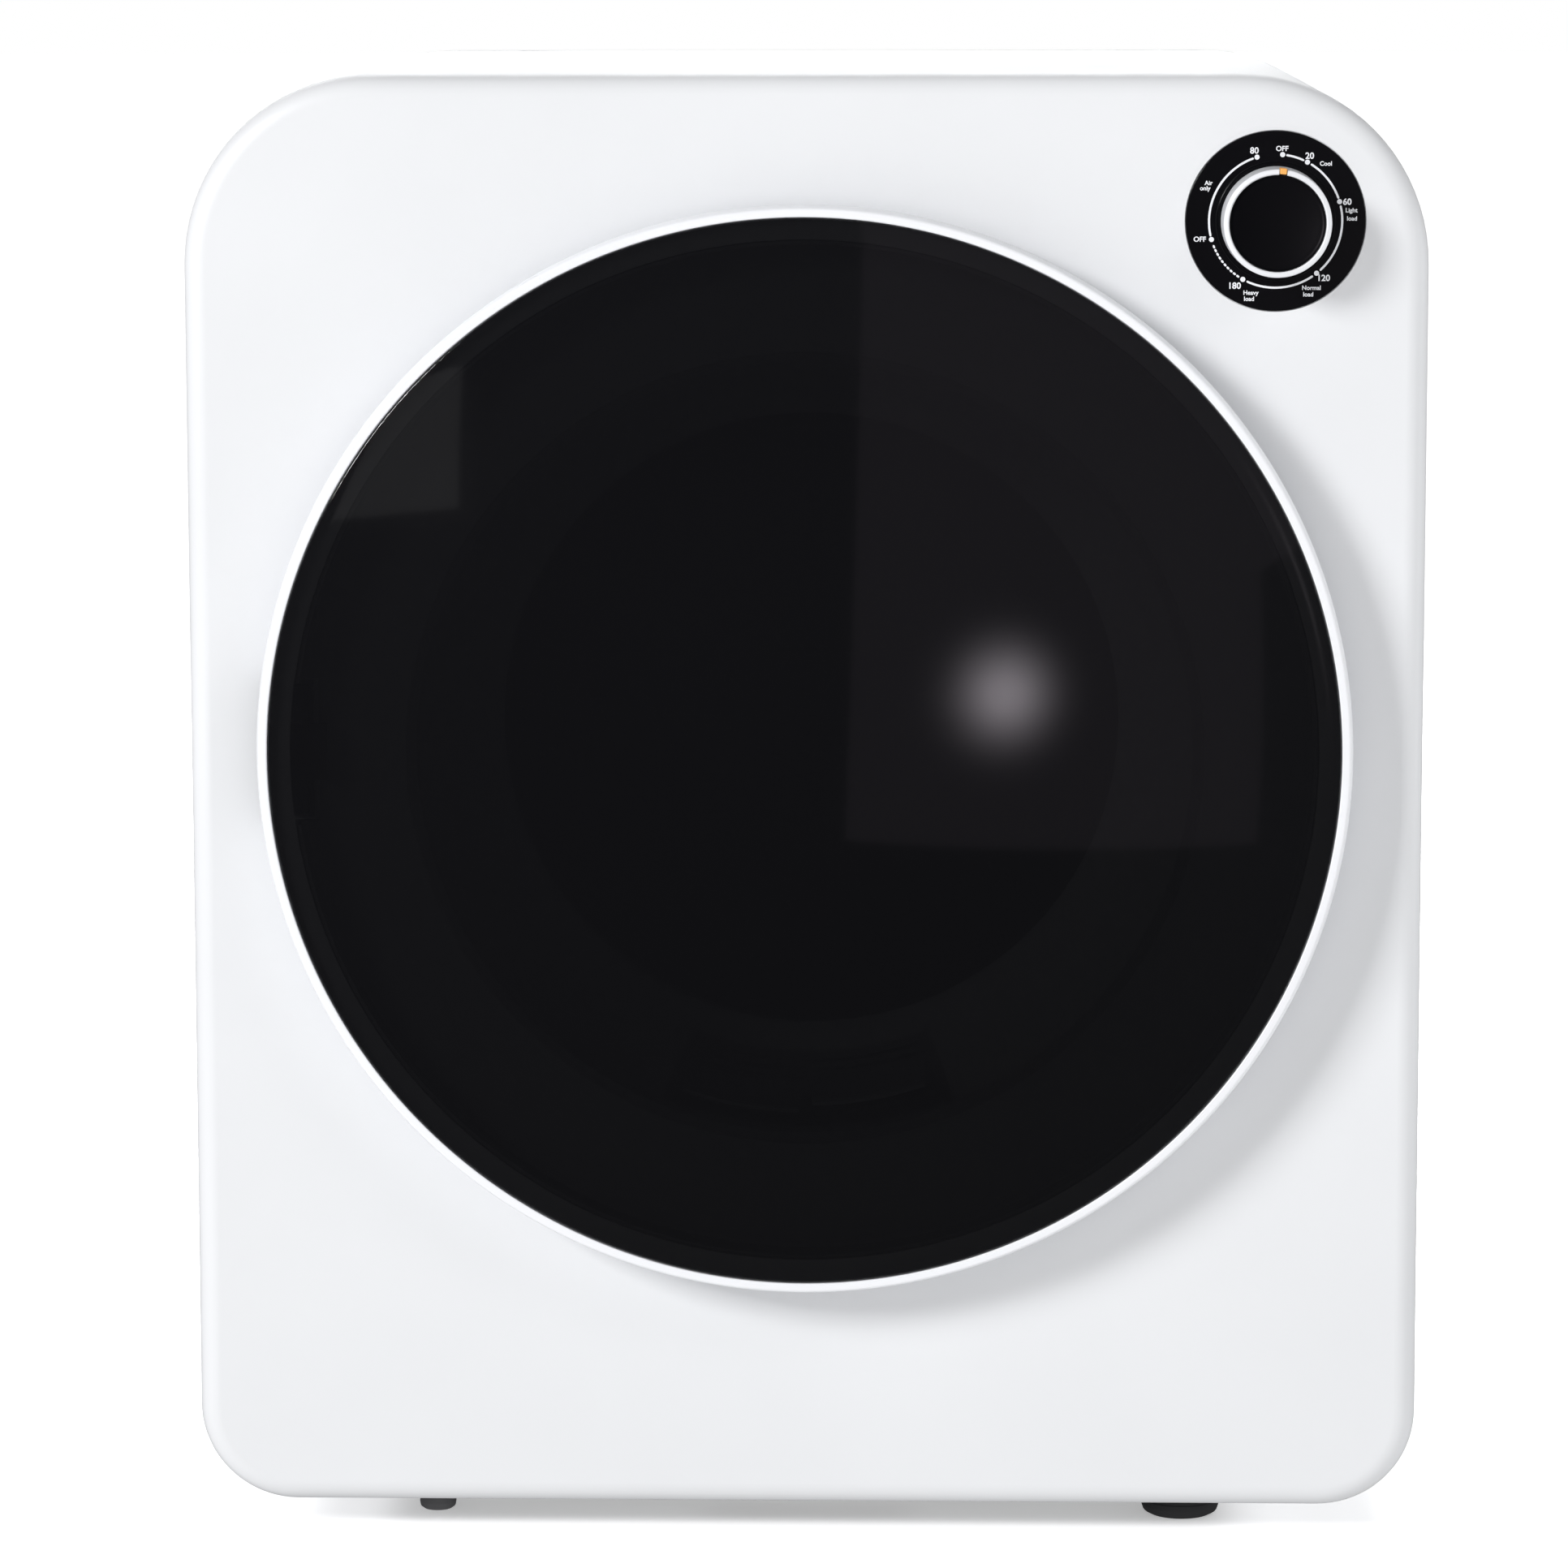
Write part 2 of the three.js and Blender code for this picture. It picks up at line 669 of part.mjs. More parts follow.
function idlerSpring() {
  const x = IDLER_PIVOT_X;
  const z = IDLER_PIVOT_HEIGHT;
  return join(tube(10, 6.2, 297, 307, x, z, SMALL), block(x + 7, x + 24, 304.5, 306.5, z - 1, z + 1));
}

function idlerArm() {
  const dx = IDLER_X - IDLER_PIVOT_X;
  const dz = IDLER_HEIGHT - IDLER_PIVOT_HEIGHT;
  const reach = Math.hypot(dx, dz);
  const turn = (Math.atan2(dz, dx) * 180) / Math.PI;
  const lever = block(0, reach, 290.5, 294.5, -7, 7).rotate([0, -turn, 0]);
  const placed = lever.translate([IDLER_PIVOT_X, 0, IDLER_PIVOT_HEIGHT]);
  return cut(
    join(
      placed,
      rod(10, 290.5, 294.5, IDLER_PIVOT_X, IDLER_PIVOT_HEIGHT),
      rod(8, 288.5, 294.5, IDLER_X, IDLER_HEIGHT),
      rod(4, 266, 294.5, IDLER_X, IDLER_HEIGHT),
    ),
    rod(6, 280, 300, IDLER_PIVOT_X, IDLER_PIVOT_HEIGHT),
  );
}

const idlerWheel = () => tube(13.5, 4.5, 267, 287.5, IDLER_X, IDLER_HEIGHT, SMALL);

const capacitor = () =>
  turned([[0, 330], [16, 330], [17, 331], [17, 396], [8, 398], [8, 402], [0, 402]], SMALL, 112, 40);

// ---- Door ----

const PIN_Y = -HINGE_PROUD;

// Pocket in the door's edge that clears the knuckles and the fixed bracket
const hingePocket = () => block(HINGE_X - 14, HINGE_X + 20, 4 - RING_PROUD + 1, 0, -34, 34);

function doorRing() {
  const front = -RING_PROUD;
  const r = RING_RADIUS;
  const seat = LENS_RADIUS + 0.4;
  const ledge = LENS_THICK - LENS_EDGE_PROUD + 0.4;
  const profile = [
    [seat, front], [r - 2.6, front + 0.3], [r - 0.9, front + 2.4], [r, front + 7],
    [r, -12], [r - 5.5, -RING_GAP], [r - 16, -RING_GAP], [r - 16, ledge], [seat, ledge],
  ];
  return cut(turned(profile), hingePocket());
}

// Radius and depth along a spherical dome, from its edge to its middle
function domeArc(edgeRadius, edgeDepth, rise, steps) {
  const ball = (edgeRadius ** 2 + rise ** 2) / (2 * rise);
  const half = Math.asin(edgeRadius / ball);
  const points = [];
  for (let i = 0; i <= steps; i++) {
    const angle = (half * (steps - i)) / steps;
    const radius = i === steps ? 0 : ball * Math.sin(angle);
    points.push([radius, edgeDepth - rise + ball * (1 - Math.cos(angle))]);
  }
  return points;
}

function doorLens() {
  const rise = DOME_PROUD - LENS_EDGE_PROUD;
  const outer = domeArc(LENS_RADIUS, -LENS_EDGE_PROUD, rise, 5);
  const inner = domeArc(LENS_RADIUS - 8, LENS_THICK - LENS_EDGE_PROUD, rise, 3);
  return turned([...outer, ...inner.reverse(), [LENS_RADIUS, LENS_THICK - LENS_EDGE_PROUD]]);
}

const LINER_RADIUS = RING_RADIUS - 16.3;

function doorLiner() {
  const back = -RING_GAP;
  const plate = back - 2.5;
  const profile = [
    [LINER_RADIUS - 2, -21], [LINER_RADIUS, -21], [LINER_RADIUS, back], [BOWL_RIM + 1, back],
    [BOWL_RIM + 1, plate], [LINER_RADIUS - 2, plate],
  ];
  return cut(turned(profile), hingePocket());
}

// The window bulges into the drum's mouth
function doorWindow() {
  const outside = [
    [BOWL_RIM, -4.8], [BOWL_RIM - 3, 10], [BOWL_RIM - 14, 27], [BOWL_RIM - 40, 39], [0, BOWL_DEPTH],
  ];
  const inside = [
    [0, BOWL_DEPTH - 3.2], [BOWL_RIM - 42, 36], [BOWL_RIM - 16.5, 25], [BOWL_RIM - 6, 9],
    [BOWL_RIM - 3.4, -7.4],
  ];
  return turned([...outside, ...inside, [BOWL_RIM + 6, -7.4], [BOWL_RIM + 6, -4.8]]);
}

const doorSeal = () =>
  turned([[199, -1.7], [211, -1.7], [208, -0.4], [202, -0.4]]);

function latchHook() {
  return join(
    block(LATCH_X - 7, LATCH_X + 4.5, -1.7, -0.5, -16, 16),
    block(LATCH_X - 2, LATCH_X + 2, -1.7, 11, -9, 9),
    block(LATCH_X - 2, LATCH_X + 2, 7, 11, -11.5, 11.5),
  );
}

// Pieces that turn about the hinge's upright line are drawn at the origin, then placed
const onHinge = (body) => body.translate([HINGE_X, at(PIN_Y), 0]);

function hingeLeaf() {
  const knuckle = turnedUpright([[3.3, -13.4], [5.5, -13.4], [5.5, 13.4], [3.3, 13.4]]);
  const leaf = solid(new THREE.BoxGeometry(20, 3, 26.8).translate(14.5, 2.5, 0));
  return onHinge(join(knuckle, leaf));
}

function hingeBracket() {
  const plateFront = HINGE_PROUD - 1.9;
  const plate = solid(new THREE.BoxGeometry(20, 1.6, 66).translate(7, plateFront + 0.8, 0));
  const knuckles = [14, -31].map((low) => {
    const barrel = turnedUpright([[3.2, low], [5.5, low], [5.5, low + 17], [3.2, low + 17]]);
    const web = new THREE.Shape();
    web.moveTo(0, 3.8);
    web.lineTo(4.6, 1);
    web.lineTo(15, plateFront + 0.2);
    web.lineTo(4, plateFront + 0.2);
    const rib = new THREE.ExtrudeGeometry(web, { depth: 17, bevelEnabled: false });
    return join(barrel, solid(rib.translate(0, 0, low)));
  });
  const bore = turnedUpright([[0, -40], [3.2, -40], [3.2, 40], [0, 40]]);
  return onHinge(cut(join(plate, ...knuckles), bore));
}

const hingePin = () =>
  onHinge(turnedUpright([[0, -31.6], [2.8, -31.6], [2.8, 31.3], [4.6, 31.3], [4, 33], [0, 33]]));

function doorStrike() {
  return cut(
    block(LATCH_X - 9, LATCH_X + 9, 2.8, 16, -20, 20),
    block(LATCH_X - 4, LATCH_X + 4, 2, 12.5, -13.5, 13.5),
  );
}

function doorSwitch() {
  return cut(
    block(LATCH_X - 8, LATCH_X + 8, 2.8, 20, -9, 9),
    rod(3.4, 0, 17.6, LATCH_X),
  ).translate([0, 0, SWITCH_RISE]);
}

const switchPlunger = () =>
  turned([[0, -1.5], [2, -1.5], [3, -0.8], [3, 13], [0, 13]], SMALL, LATCH_X, SWITCH_RISE);

// ---- Controls, drawn about the dial's own axis ----

const timerDial = () => tube(DIAL_RADIUS, 6, -0.6, 0.9, 0, 0, MEDIUM);

function timerUnit() {
  return cut(
    join(block(-28, 28, 2.8, 34, -30, 30), rod(22, 33, 50)),
    rod(4, 0, 22),
  );
}

function timerKnob() {
  const face = KNOB_FACE_RADIUS;
  const base = KNOB_BASE_RADIUS;
  const profile = [
    [0, -20.5], [face + 0.3, -20.5], [face + 0.3, -24.3], [face + 1, -KNOB_PROUD],
    [face + 2.4, -23.6], [base, -1.2], [base - 2.5, -1.2], [face - 1, -18], [3.2, -18], [3.2, 20], [0, 20],
  ];
  const half = POINTER_WIDTH / 2 + 0.3;
  const notch = block(-half, half, -30, -15, face - 1, 40).rotate([0, POINTER_TURN, 0]);
  return cut(turned(profile, MEDIUM), notch);
}

const knobFace = () => rod(KNOB_FACE_RADIUS, -24, -20.8, 0, 0, MEDIUM);

// Orange tab let into the knob's rim
function knobPointer() {
  const half = POINTER_WIDTH / 2;
  const tab = block(-half, half, -KNOB_PROUD - 0.2, -15.4, KNOB_FACE_RADIUS + 0.6, KNOB_BASE_RADIUS);
  return tab.rotate([0, POINTER_TURN, 0]);
}

// ---- Feet, drawn at the origin ----

const rubberFoot = () =>
  turnedUpright(
    [
      [0, 0], [15, 0], [17.8, 1.4], [19, 4.5], [18.4, FOOT_HEIGHT - GAP], [5, FOOT_HEIGHT - GAP],
      [5, 16], [7.5, 16], [6, 20], [0, 20],
    ],
  );

const levellingFoot = () =>
  turnedUpright([[0, 0], [7, 0], [8.6, 1.2], [9, 3.5], [8.7, 9.6], [4, 9.6], [4, 30], [0, 30]]);

const levellingNut = () =>
  cut(
    turnedUpright([[0, 10], [8, 10], [8, 13.6], [0, 13.6]], 6),
    turnedUpright([[0, 9], [4.6, 9], [4.6, 15], [0, 15]]),
  );

// ---- Assembly ----

const dryer = new THREE.Group();

function group(x, y, z, ...children) {
  const made = new THREE.Group();
  made.position.set(x, y, z);
  made.add(...children);
  return made;
}

dryer.add(
  piece("front_panel", "white_plastic", frontPanel()),
  piece("cabinet_wrap", "white_steel", cabinetWrap()),
  piece("base_pan", "galvanised", basePan()),
  piece("rear_cover", "galvanised", rearCover()),
  piece("top_brace", "galvanised", topBrace()),
  piece("front_bulkhead", "white_steel", frontBulkhead()),
  piece("bulkhead_felt", "felt", bulkheadFelt()),
  piece("mouth_funnel", "white_steel", mouthFunnel()),
  piece("heater_grille", "grey_plastic", heaterGrille()),
  piece("heater_duct", "galvanised", heaterDuct()),
  piece("ptc_heater", "steel", ptcHeater()),
  piece("thermostat", "black_plastic", thermostat()),
  piece("cord_gland", "black_plastic", cordGland()),
  piece("motor_body", "motor", motorBody()),
  piece("motor_mount", "galvanised", motorMount()),
  piece("motor_rotor", "steel", motorRotor()),
  piece("capacitor", "silver", capacitor()),
  piece("drum_belt", "rubber", drumBelt()),
  piece("fan_belt", "rubber", fanBelt()),
  piece("idler_bracket", "galvanised", idlerBracket()),
  piece("idler_spring", "steel", idlerSpring()),
  piece("idler_arm", "galvanised", idlerArm()),
  piece("idler_wheel", "grey_plastic", idlerWheel()),
);

const lifters = [1, 2, 3].map((number) => {
  const mesh = piece("lifter_" + number, "grey_plastic", lifter());
  mesh.rotation.y = (FULL_TURN * (number - 1)) / 3;
  return mesh;
});

dryer.add(
  group(
    0, 0, AXIS_HEIGHT,
    piece("drum_shell", "stainless", drumShell()),
    piece("drum_back", "stainless", drumBack()),
    piece("drum_shaft", "steel", drumShaft()),
    ...lifters,
    piece("lint_filter", "grey_plastic", lintFilter()),
    piece("bearing_bracket", "galvanised", bearingBracket()),
    piece("drum_bearing", "steel", drumBearing()),
    piece("rear_seal", "felt", rearSeal()),
    piece("fan_housing", "galvanised", fanHousing()),
    piece("fan_spindle", "steel", fanSpindle()),
    piece("fan_impeller", "grey_plastic", fanImpeller()),
    piece("fan_pulley", "black_plastic", fanPulley()),
    piece("exhaust_spigot", "grey_plastic", exhaustSpigot()),
    piece("door_ring", "white_plastic", doorRing()),
    piece("door_lens", "smoked", doorLens()),
    piece("door_liner", "grey_plastic", doorLiner()),
    piece("door_window", "window_glass", doorWindow()),
    piece("door_seal", "rubber", doorSeal()),
    piece("latch_hook", "grey_plastic", latchHook()),
    piece("hinge_leaf", "steel", hingeLeaf()),
    piece("hinge_bracket", "steel", hingeBracket()),
    piece("hinge_pin", "steel", hingePin()),
    piece("door_strike", "grey_plastic", doorStrike()),
    piece("door_switch", "black_plastic", doorSwitch()),
    piece("switch_plunger", "grey_plastic", switchPlunger()),
  ),
);

dryer.add(
  group(
    DIAL_X, 0, DIAL_HEIGHT,
    piece("timer_dial", "black_plastic", timerDial()),
    piece("timer_unit", "grey_plastic", timerUnit()),
    piece("timer_knob", "silver", timerKnob()),
    piece("knob_face", "black_plastic", knobFace()),
    piece("knob_pointer", "orange", knobPointer()),
  ),
);

dryer.add(
  group(FOOT_X, at(FRONT_FOOT_DEPTH), 0, piece("foot_front_right", "rubber", rubberFoot())),
  group(-FOOT_X, at(REAR_FOOT_DEPTH), 0, piece("foot_rear_left", "rubber", rubberFoot())),
  group(FOOT_X, at(REAR_FOOT_DEPTH), 0, piece("foot_rear_right", "rubber", rubberFoot())),
  group(
    -FOOT_X, at(FRONT_FOOT_DEPTH), 0,
    piece("foot_front_left", "grey_plastic", levellingFoot()),
    piece("levelling_nut", "steel", levellingNut()),
  ),
);

export default dryer;
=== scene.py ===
"""Compact vented clothes dryer: materials, fine meshes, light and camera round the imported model.

Lengths are millimetres and become metres where a mesh, light or camera is made. +Z is up and the
front faces -Y. "Depth" means distance behind the flat face of the front panel.
"""

import json
import math

import bmesh
import bpy
from mathutils import Matrix, Vector


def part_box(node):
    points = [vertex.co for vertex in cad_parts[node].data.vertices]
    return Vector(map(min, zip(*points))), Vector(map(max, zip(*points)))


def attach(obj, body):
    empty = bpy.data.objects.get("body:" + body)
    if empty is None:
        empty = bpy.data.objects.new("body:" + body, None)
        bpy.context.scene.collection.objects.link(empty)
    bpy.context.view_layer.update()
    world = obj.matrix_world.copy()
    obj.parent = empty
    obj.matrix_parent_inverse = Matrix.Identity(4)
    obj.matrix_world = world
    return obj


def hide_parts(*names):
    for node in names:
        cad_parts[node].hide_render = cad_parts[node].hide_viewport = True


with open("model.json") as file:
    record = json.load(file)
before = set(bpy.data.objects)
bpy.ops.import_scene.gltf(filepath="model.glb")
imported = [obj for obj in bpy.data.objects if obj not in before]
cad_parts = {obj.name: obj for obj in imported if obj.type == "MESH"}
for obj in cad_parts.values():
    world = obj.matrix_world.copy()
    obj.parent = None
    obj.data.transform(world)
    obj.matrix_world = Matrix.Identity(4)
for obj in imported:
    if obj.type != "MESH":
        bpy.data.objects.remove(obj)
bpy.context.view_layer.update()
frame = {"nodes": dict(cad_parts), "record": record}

MM = 0.001
TAU = 2 * math.pi


def corners(node):
    """Lowest and highest corner of a CAD node, in millimetres."""
    low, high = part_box(node)
    return low / MM, high / MM


def middle(node):
    low, high = corners(node)
    return (low + high) / 2


def radius_of(node):
    """Outer radius of a node that is round about a line along Y."""
    low, high = corners(node)
    return (high.z - low.z) / 2


# ---- Driving dimensions, from the frame ----

PANEL_LOW, PANEL_HIGH = corners("front_panel")
FACE = PANEL_LOW.y
HALF_WIDTH = PANEL_HIGH.x
LOW = PANEL_LOW.z
HIGH = PANEL_HIGH.z
AXIS = middle("door_ring").z
RING_RADIUS = radius_of("door_ring")
LENS_RADIUS = radius_of("door_lens")
RING_PROUD = FACE - corners("door_ring")[0].y
DOME_PROUD = FACE - corners("door_lens")[0].y
DIAL = middle("timer_dial")
DIAL_RADIUS = radius_of("timer_dial")
KNOB_RADIUS = radius_of("timer_knob")
KNOB_FACE_RADIUS = radius_of("knob_face")
KNOB_PROUD = FACE - corners("timer_knob")[0].y
SPIGOT = middle("exhaust_spigot")
GLAND = middle("cord_gland")
HINGE = middle("hinge_pin")

TOP_CORNER = 90
BOTTOM_CORNER = 47
PANEL_DEPTH = 18
PANEL_ROUNDING = 11
PANEL_WALL = 2.5
MOUTH_RADIUS = 193
THROAT_RADIUS = 152
THROAT_DEPTH = 110
SEAM_DEPTH = 226
LENS_EDGE = -26.6
POINTER_TURN = math.radians(5.5)


def depth_of(node):
    """Depths of a node's front and rear."""
    low, high = corners(node)
    return low.y - FACE, high.y - FACE


# ---- Outlines ----

def rounded(points, closed=True, steps=5):
    """Outline from corners (a, b, radius), each turned into an arc of its radius."""
    outline = []
    count = len(points)
    for i, (a, b, *rest) in enumerate(points):
        corner = Vector((a, b))
        radius = rest[0] if rest else 0
        if not radius or (not closed and i in (0, count - 1)):
            outline.append((a, b))
            continue
        back = Vector(points[i - 1][:2]) - corner
        ahead = Vector(points[(i + 1) % count][:2]) - corner
        half = back.angle(ahead) / 2
        reach = min(radius / math.tan(half), 0.49 * min(back.length, ahead.length))
        radius = reach * math.tan(half)
        to_centre = (back.normalized() + ahead.normalized()).normalized() * (radius / math.sin(half))
        start = back.normalized() * reach - to_centre
        end = ahead.normalized() * reach - to_centre
        turn = -start.angle_signed(end)
        for step in range(steps + 1):
            spoke = start.copy()
            spoke.rotate(Matrix.Rotation(turn * step / steps, 2))
            outline.append(tuple(corner + to_centre + spoke))
    return outline


def cabinet_outline(inset, open_half=None, corner_steps=20, spacing=12):
    """Points (x, z) round the cabinet, anticlockwise from the middle of its foot or from open_half."""
    side = HALF_WIDTH - inset
    low, high = LOW + inset, HIGH - inset
    top, bottom = TOP_CORNER - inset, BOTTOM_CORNER - inset
    centres = [
        (side - bottom, low + bottom, bottom, -90),
        (side - top, high - top, top, 0),
        (top - side, high - top, top, 90),
        (bottom - side, low + bottom, bottom, 180),
    ]
    points = [(open_half or 0, low)]
    for x, z, radius, first in centres:
        start = (x + radius * math.cos(math.radians(first)), z + radius * math.sin(math.radians(first)))
        points += between(points[-1], start, spacing)
        for step in range(corner_steps + 1):
            angle = math.radians(first + 90 * step / corner_steps)
            points.append((x + radius * math.cos(angle), z + radius * math.sin(angle)))
    end = (-open_half if open_half else 0, low)
    points += between(points[-1], end, spacing)
    if open_half:
        points.append(end)
    return points


def cabinet_loop(inset, depth, open_half=None):
    return [(x, FACE + depth, z) for x, z in cabinet_outline(inset, open_half)]


def between(start, end, spacing):
    """Evenly spaced points strictly between two points. Their number doesn't change with the inset."""
    count = max(2, round(math.dist(start, end) / spacing / 2) * 2)
    return [
        tuple(Vector(start).lerp(Vector(end), i / count))
        for i in range(1, count)
    ]


# ---- Meshes ----

class Shape:
    """Vertices in millimetres and faces, built up by the functions below."""

    def __init__(self):
        self.verts = []
        self.faces = []

    def add(self, verts, faces):
        first = len(self.verts)
        self.verts += [tuple(v) for v in verts]
        self.faces += [[first + i for i in face] for face in faces]
        return self

    def moved(self, matrix):
        self.verts = [tuple(matrix @ Vector(v)) for v in self.verts]
        return self

    def merge(self, other):
        return self.add(other.verts, other.faces)


def lathe(profile, x=0.0, z=0.0, segments=96, reshape=None):
    """Closed outline of (radius, depth) points turned about a line along Y."""
    rings = []
    verts = []
    for radius, depth in profile:
        if radius < 1e-6:
            rings.append([len(verts)])
            verts.append((x, FACE + depth, z))
            continue
        first = len(verts)
        for i in range(segments):
            angle = TAU * i / segments
            r = reshape(radius, depth, angle) if reshape else radius
            verts.append((x + r * math.cos(angle), FACE + depth, z + r * math.sin(angle)))
        rings.append(list(range(first, first + segments)))
    faces = []
    for i, ring in enumerate(rings):
        after = rings[(i + 1) % len(rings)]
        if len(ring) == 1 and len(after) == 1:
            continue
        for k in range(segments):
            n = (k + 1) % segments
            if len(ring) == 1:
                faces.append([ring[0], after[n], after[k]])
            elif len(after) == 1:
                faces.append([ring[k], ring[n], after[0]])
            else:
                faces.append([ring[k], ring[n], after[n], after[k]])
    return Shape().add(verts, faces)


def upright_lathe(profile, x, y, segments=64):
    """The same about a line along Z, from (radius, height) points."""
    shape = lathe([(r, h - FACE) for r, h in profile], segments=segments)
    return shape.moved(Matrix.Translation((x, y, 0)) @ Matrix.Rotation(math.pi / 2, 4, "X"))


def loft(loops, ring=True, around=True):
    """Faces between loops of equal length. ring joins the last loop to the first, around closes
    each loop; open loops get end caps instead."""
    shape = Shape()
    size = len(loops[0])
    verts = [v for loop in loops for v in loop]
    faces = []
    for i in range(len(loops) if ring else len(loops) - 1):
        a, b = i * size, ((i + 1) % len(loops)) * size
        for k in range(size if around else size - 1):
            n = (k + 1) % size
            faces.append([a + k, a + n, b + n, b + k])
    if not around:
        faces.append([i * size for i in range(len(loops))])
        faces.append([i * size + size - 1 for i in reversed(range(len(loops)))])
    if not ring:
        faces.append(list(range(size)))
        faces.append([(len(loops) - 1) * size + k for k in reversed(range(size))])
    return shape.add(verts, faces)


def turned(name, profile, segments):
    """Object turned about the door's axis."""
    return to_object(name, lathe(profile, z=AXIS, segments=segments))


def prism(outline, front, rear):
    """Outline (x, z) extruded between two depths."""
    return loft([[(x, FACE + depth, z) for x, z in outline] for depth in (front, rear)], ring=False)


def brick(x0, x1, front, rear, z0, z1):
    return prism([(x0, z0), (x1, z0), (x1, z1), (x0, z1)], front, rear)


def rod(radius, front, rear, x=0.0, z=0.0, segments=64):
    return lathe([(0, front), (radius, front), (radius, rear), (0, rear)], x, z, segments)


def to_object(name, shape):
    mesh = bpy.data.meshes.new(name)
    mesh.from_pydata([[c * MM for c in v] for v in shape.verts], [], shape.faces)
    bm = bmesh.new()
    bm.from_mesh(mesh)
    bmesh.ops.remove_doubles(bm, verts=bm.verts, dist=1e-6)
    bmesh.ops.recalc_face_normals(bm, faces=bm.faces)
    bm.to_mesh(mesh)
    bm.free()
    made = bpy.data.objects.new(name, mesh)
    bpy.context.collection.objects.link(made)
    return made


def applied(thing):
    """Turns an object's modifiers into its mesh."""
    graph = bpy.context.evaluated_depsgraph_get()
    mesh = bpy.data.meshes.new_from_object(thing.evaluated_get(graph))
    thing.modifiers.clear()
    thing.data = mesh
    return thing


def carve(thing, shapes, operation="DIFFERENCE"):
    cutters = [to_object("cutter", shape) for shape in shapes]
    for cutter in cutters:
        modifier = thing.modifiers.new("cut", "BOOLEAN")
        modifier.operation = operation
        modifier.solver = "EXACT"
        modifier.object = cutter
    applied(thing)
    for cutter in cutters:
        bpy.data.objects.remove(cutter)
    return thing


def soften(thing, width, segments=3, angle=30):
    modifier = thing.modifiers.new("edges", "BEVEL")
    modifier.width = width * MM
    modifier.segments = segments
    modifier.limit_method = "ANGLE"
    modifier.angle_limit = math.radians(angle)
    modifier.harden_normals = False
    return applied(thing)


def joined(thing, meshes):
    """Adds meshes to an object's mesh."""
    bm = bmesh.new()
    bm.from_mesh(thing.data)
    for mesh in meshes:
        bm.from_mesh(mesh)
        bpy.data.meshes.remove(mesh)
    bm.to_mesh(thing.data)
    bm.free()
    return thing


def shade(thing, angle=32):
    """Smooth faces with sharp edges above the angle, and flat areas that stay flat."""
    thing.data.polygons.foreach_set("use_smooth", [True] * len(thing.data.polygons))
    thing.data.set_sharp_from_angle(angle=math.radians(angle))
    modifier = thing.modifiers.new("normals", "WEIGHTED_NORMAL")
    modifier.keep_sharp = True
    modifier.weight = 90
    return thing


def finish_piece(thing, look, body="cabinet", replaces=(), angle=32):
    shade(thing, angle)
    thing.data.materials.clear()
    thing.data.materials.append(LOOKS[look])
    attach(thing, body)
    if replaces:
        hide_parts(*replaces)
    return thing


# ---- Materials ----

class Nodes:
    """A material's node tree, with short calls to add and link nodes."""

    def __init__(self, name):
        self.material = bpy.data.materials.new(name)
        self.material.use_nodes = True
        self.tree = self.material.node_tree
        self.shader = self.tree.nodes["Principled BSDF"]

    def add(self, kind, **values):
        node = self.tree.nodes.new("ShaderNode" + kind)
        for key, value in values.items():
            socket = node.inputs.get(key.replace("_", " "))
            if socket is not None:
                socket.default_value = value
            else:
                setattr(node, key, value)
        return node

    def link(self, out, into):
        self.tree.links.new(out, into)

    def place(self, scale=(1, 1, 1)):
        """Position on the object, scaled along each axis."""
        spot = self.add("TexCoord")
        mapping = self.add("Mapping")
        mapping.inputs["Scale"].default_value = scale
        self.link(spot.outputs["Object"], mapping.inputs["Vector"])
        return mapping.outputs["Vector"]

    def noise(self, vector, scale, detail=3.0, roughness=0.55):
        node = self.add("TexNoise", Scale=scale, Detail=detail, Roughness=roughness)
        self.link(vector, node.inputs["Vector"])
        return node.outputs["Fac"]

    def span(self, value, low, high, from_low=0.3, from_high=0.7):
        node = self.add("MapRange", From_Min=from_low, From_Max=from_high, To_Min=low, To_Max=high)
        self.link(value, node.inputs["Value"])
        return node.outputs["Result"]

    def maths(self, operation, value, *numbers):
        node = self.add("Math", operation=operation)
        self.link(value, node.inputs[0])
        for socket, number in zip(node.inputs[1:], numbers):
            socket.default_value = number
        return node.outputs[0]

    def colours(self, value, dark, light, low=0.3, high=0.7):
        ramp = self.add("ValToRGB")
        ramp.color_ramp.elements[0].position = low
        ramp.color_ramp.elements[1].position = high
        ramp.color_ramp.elements[0].color = (*dark, 1)
        ramp.color_ramp.elements[1].color = (*light, 1)
        self.link(value, ramp.inputs["Fac"])
        self.link(ramp.outputs["Color"], self.shader.inputs["Base Color"])

    def bump(self, value, strength, distance):
        node = self.add("Bump")
        node.inputs["Strength"].default_value = strength
        node.inputs["Distance"].default_value = distance * MM
        self.link(value, node.inputs["Height"])
        self.link(node.outputs["Normal"], self.shader.inputs["Normal"])

    def fixed(self, **values):
        for key, value in values.items():
            self.shader.inputs[key.replace("_", " ")].default_value = value
        return self


def shades(colour, spread):
    """A darker and a lighter neighbour of a colour."""
    return [tuple(min(1, c * k) for c in colour) for k in (1 - spread, 1 + spread)]


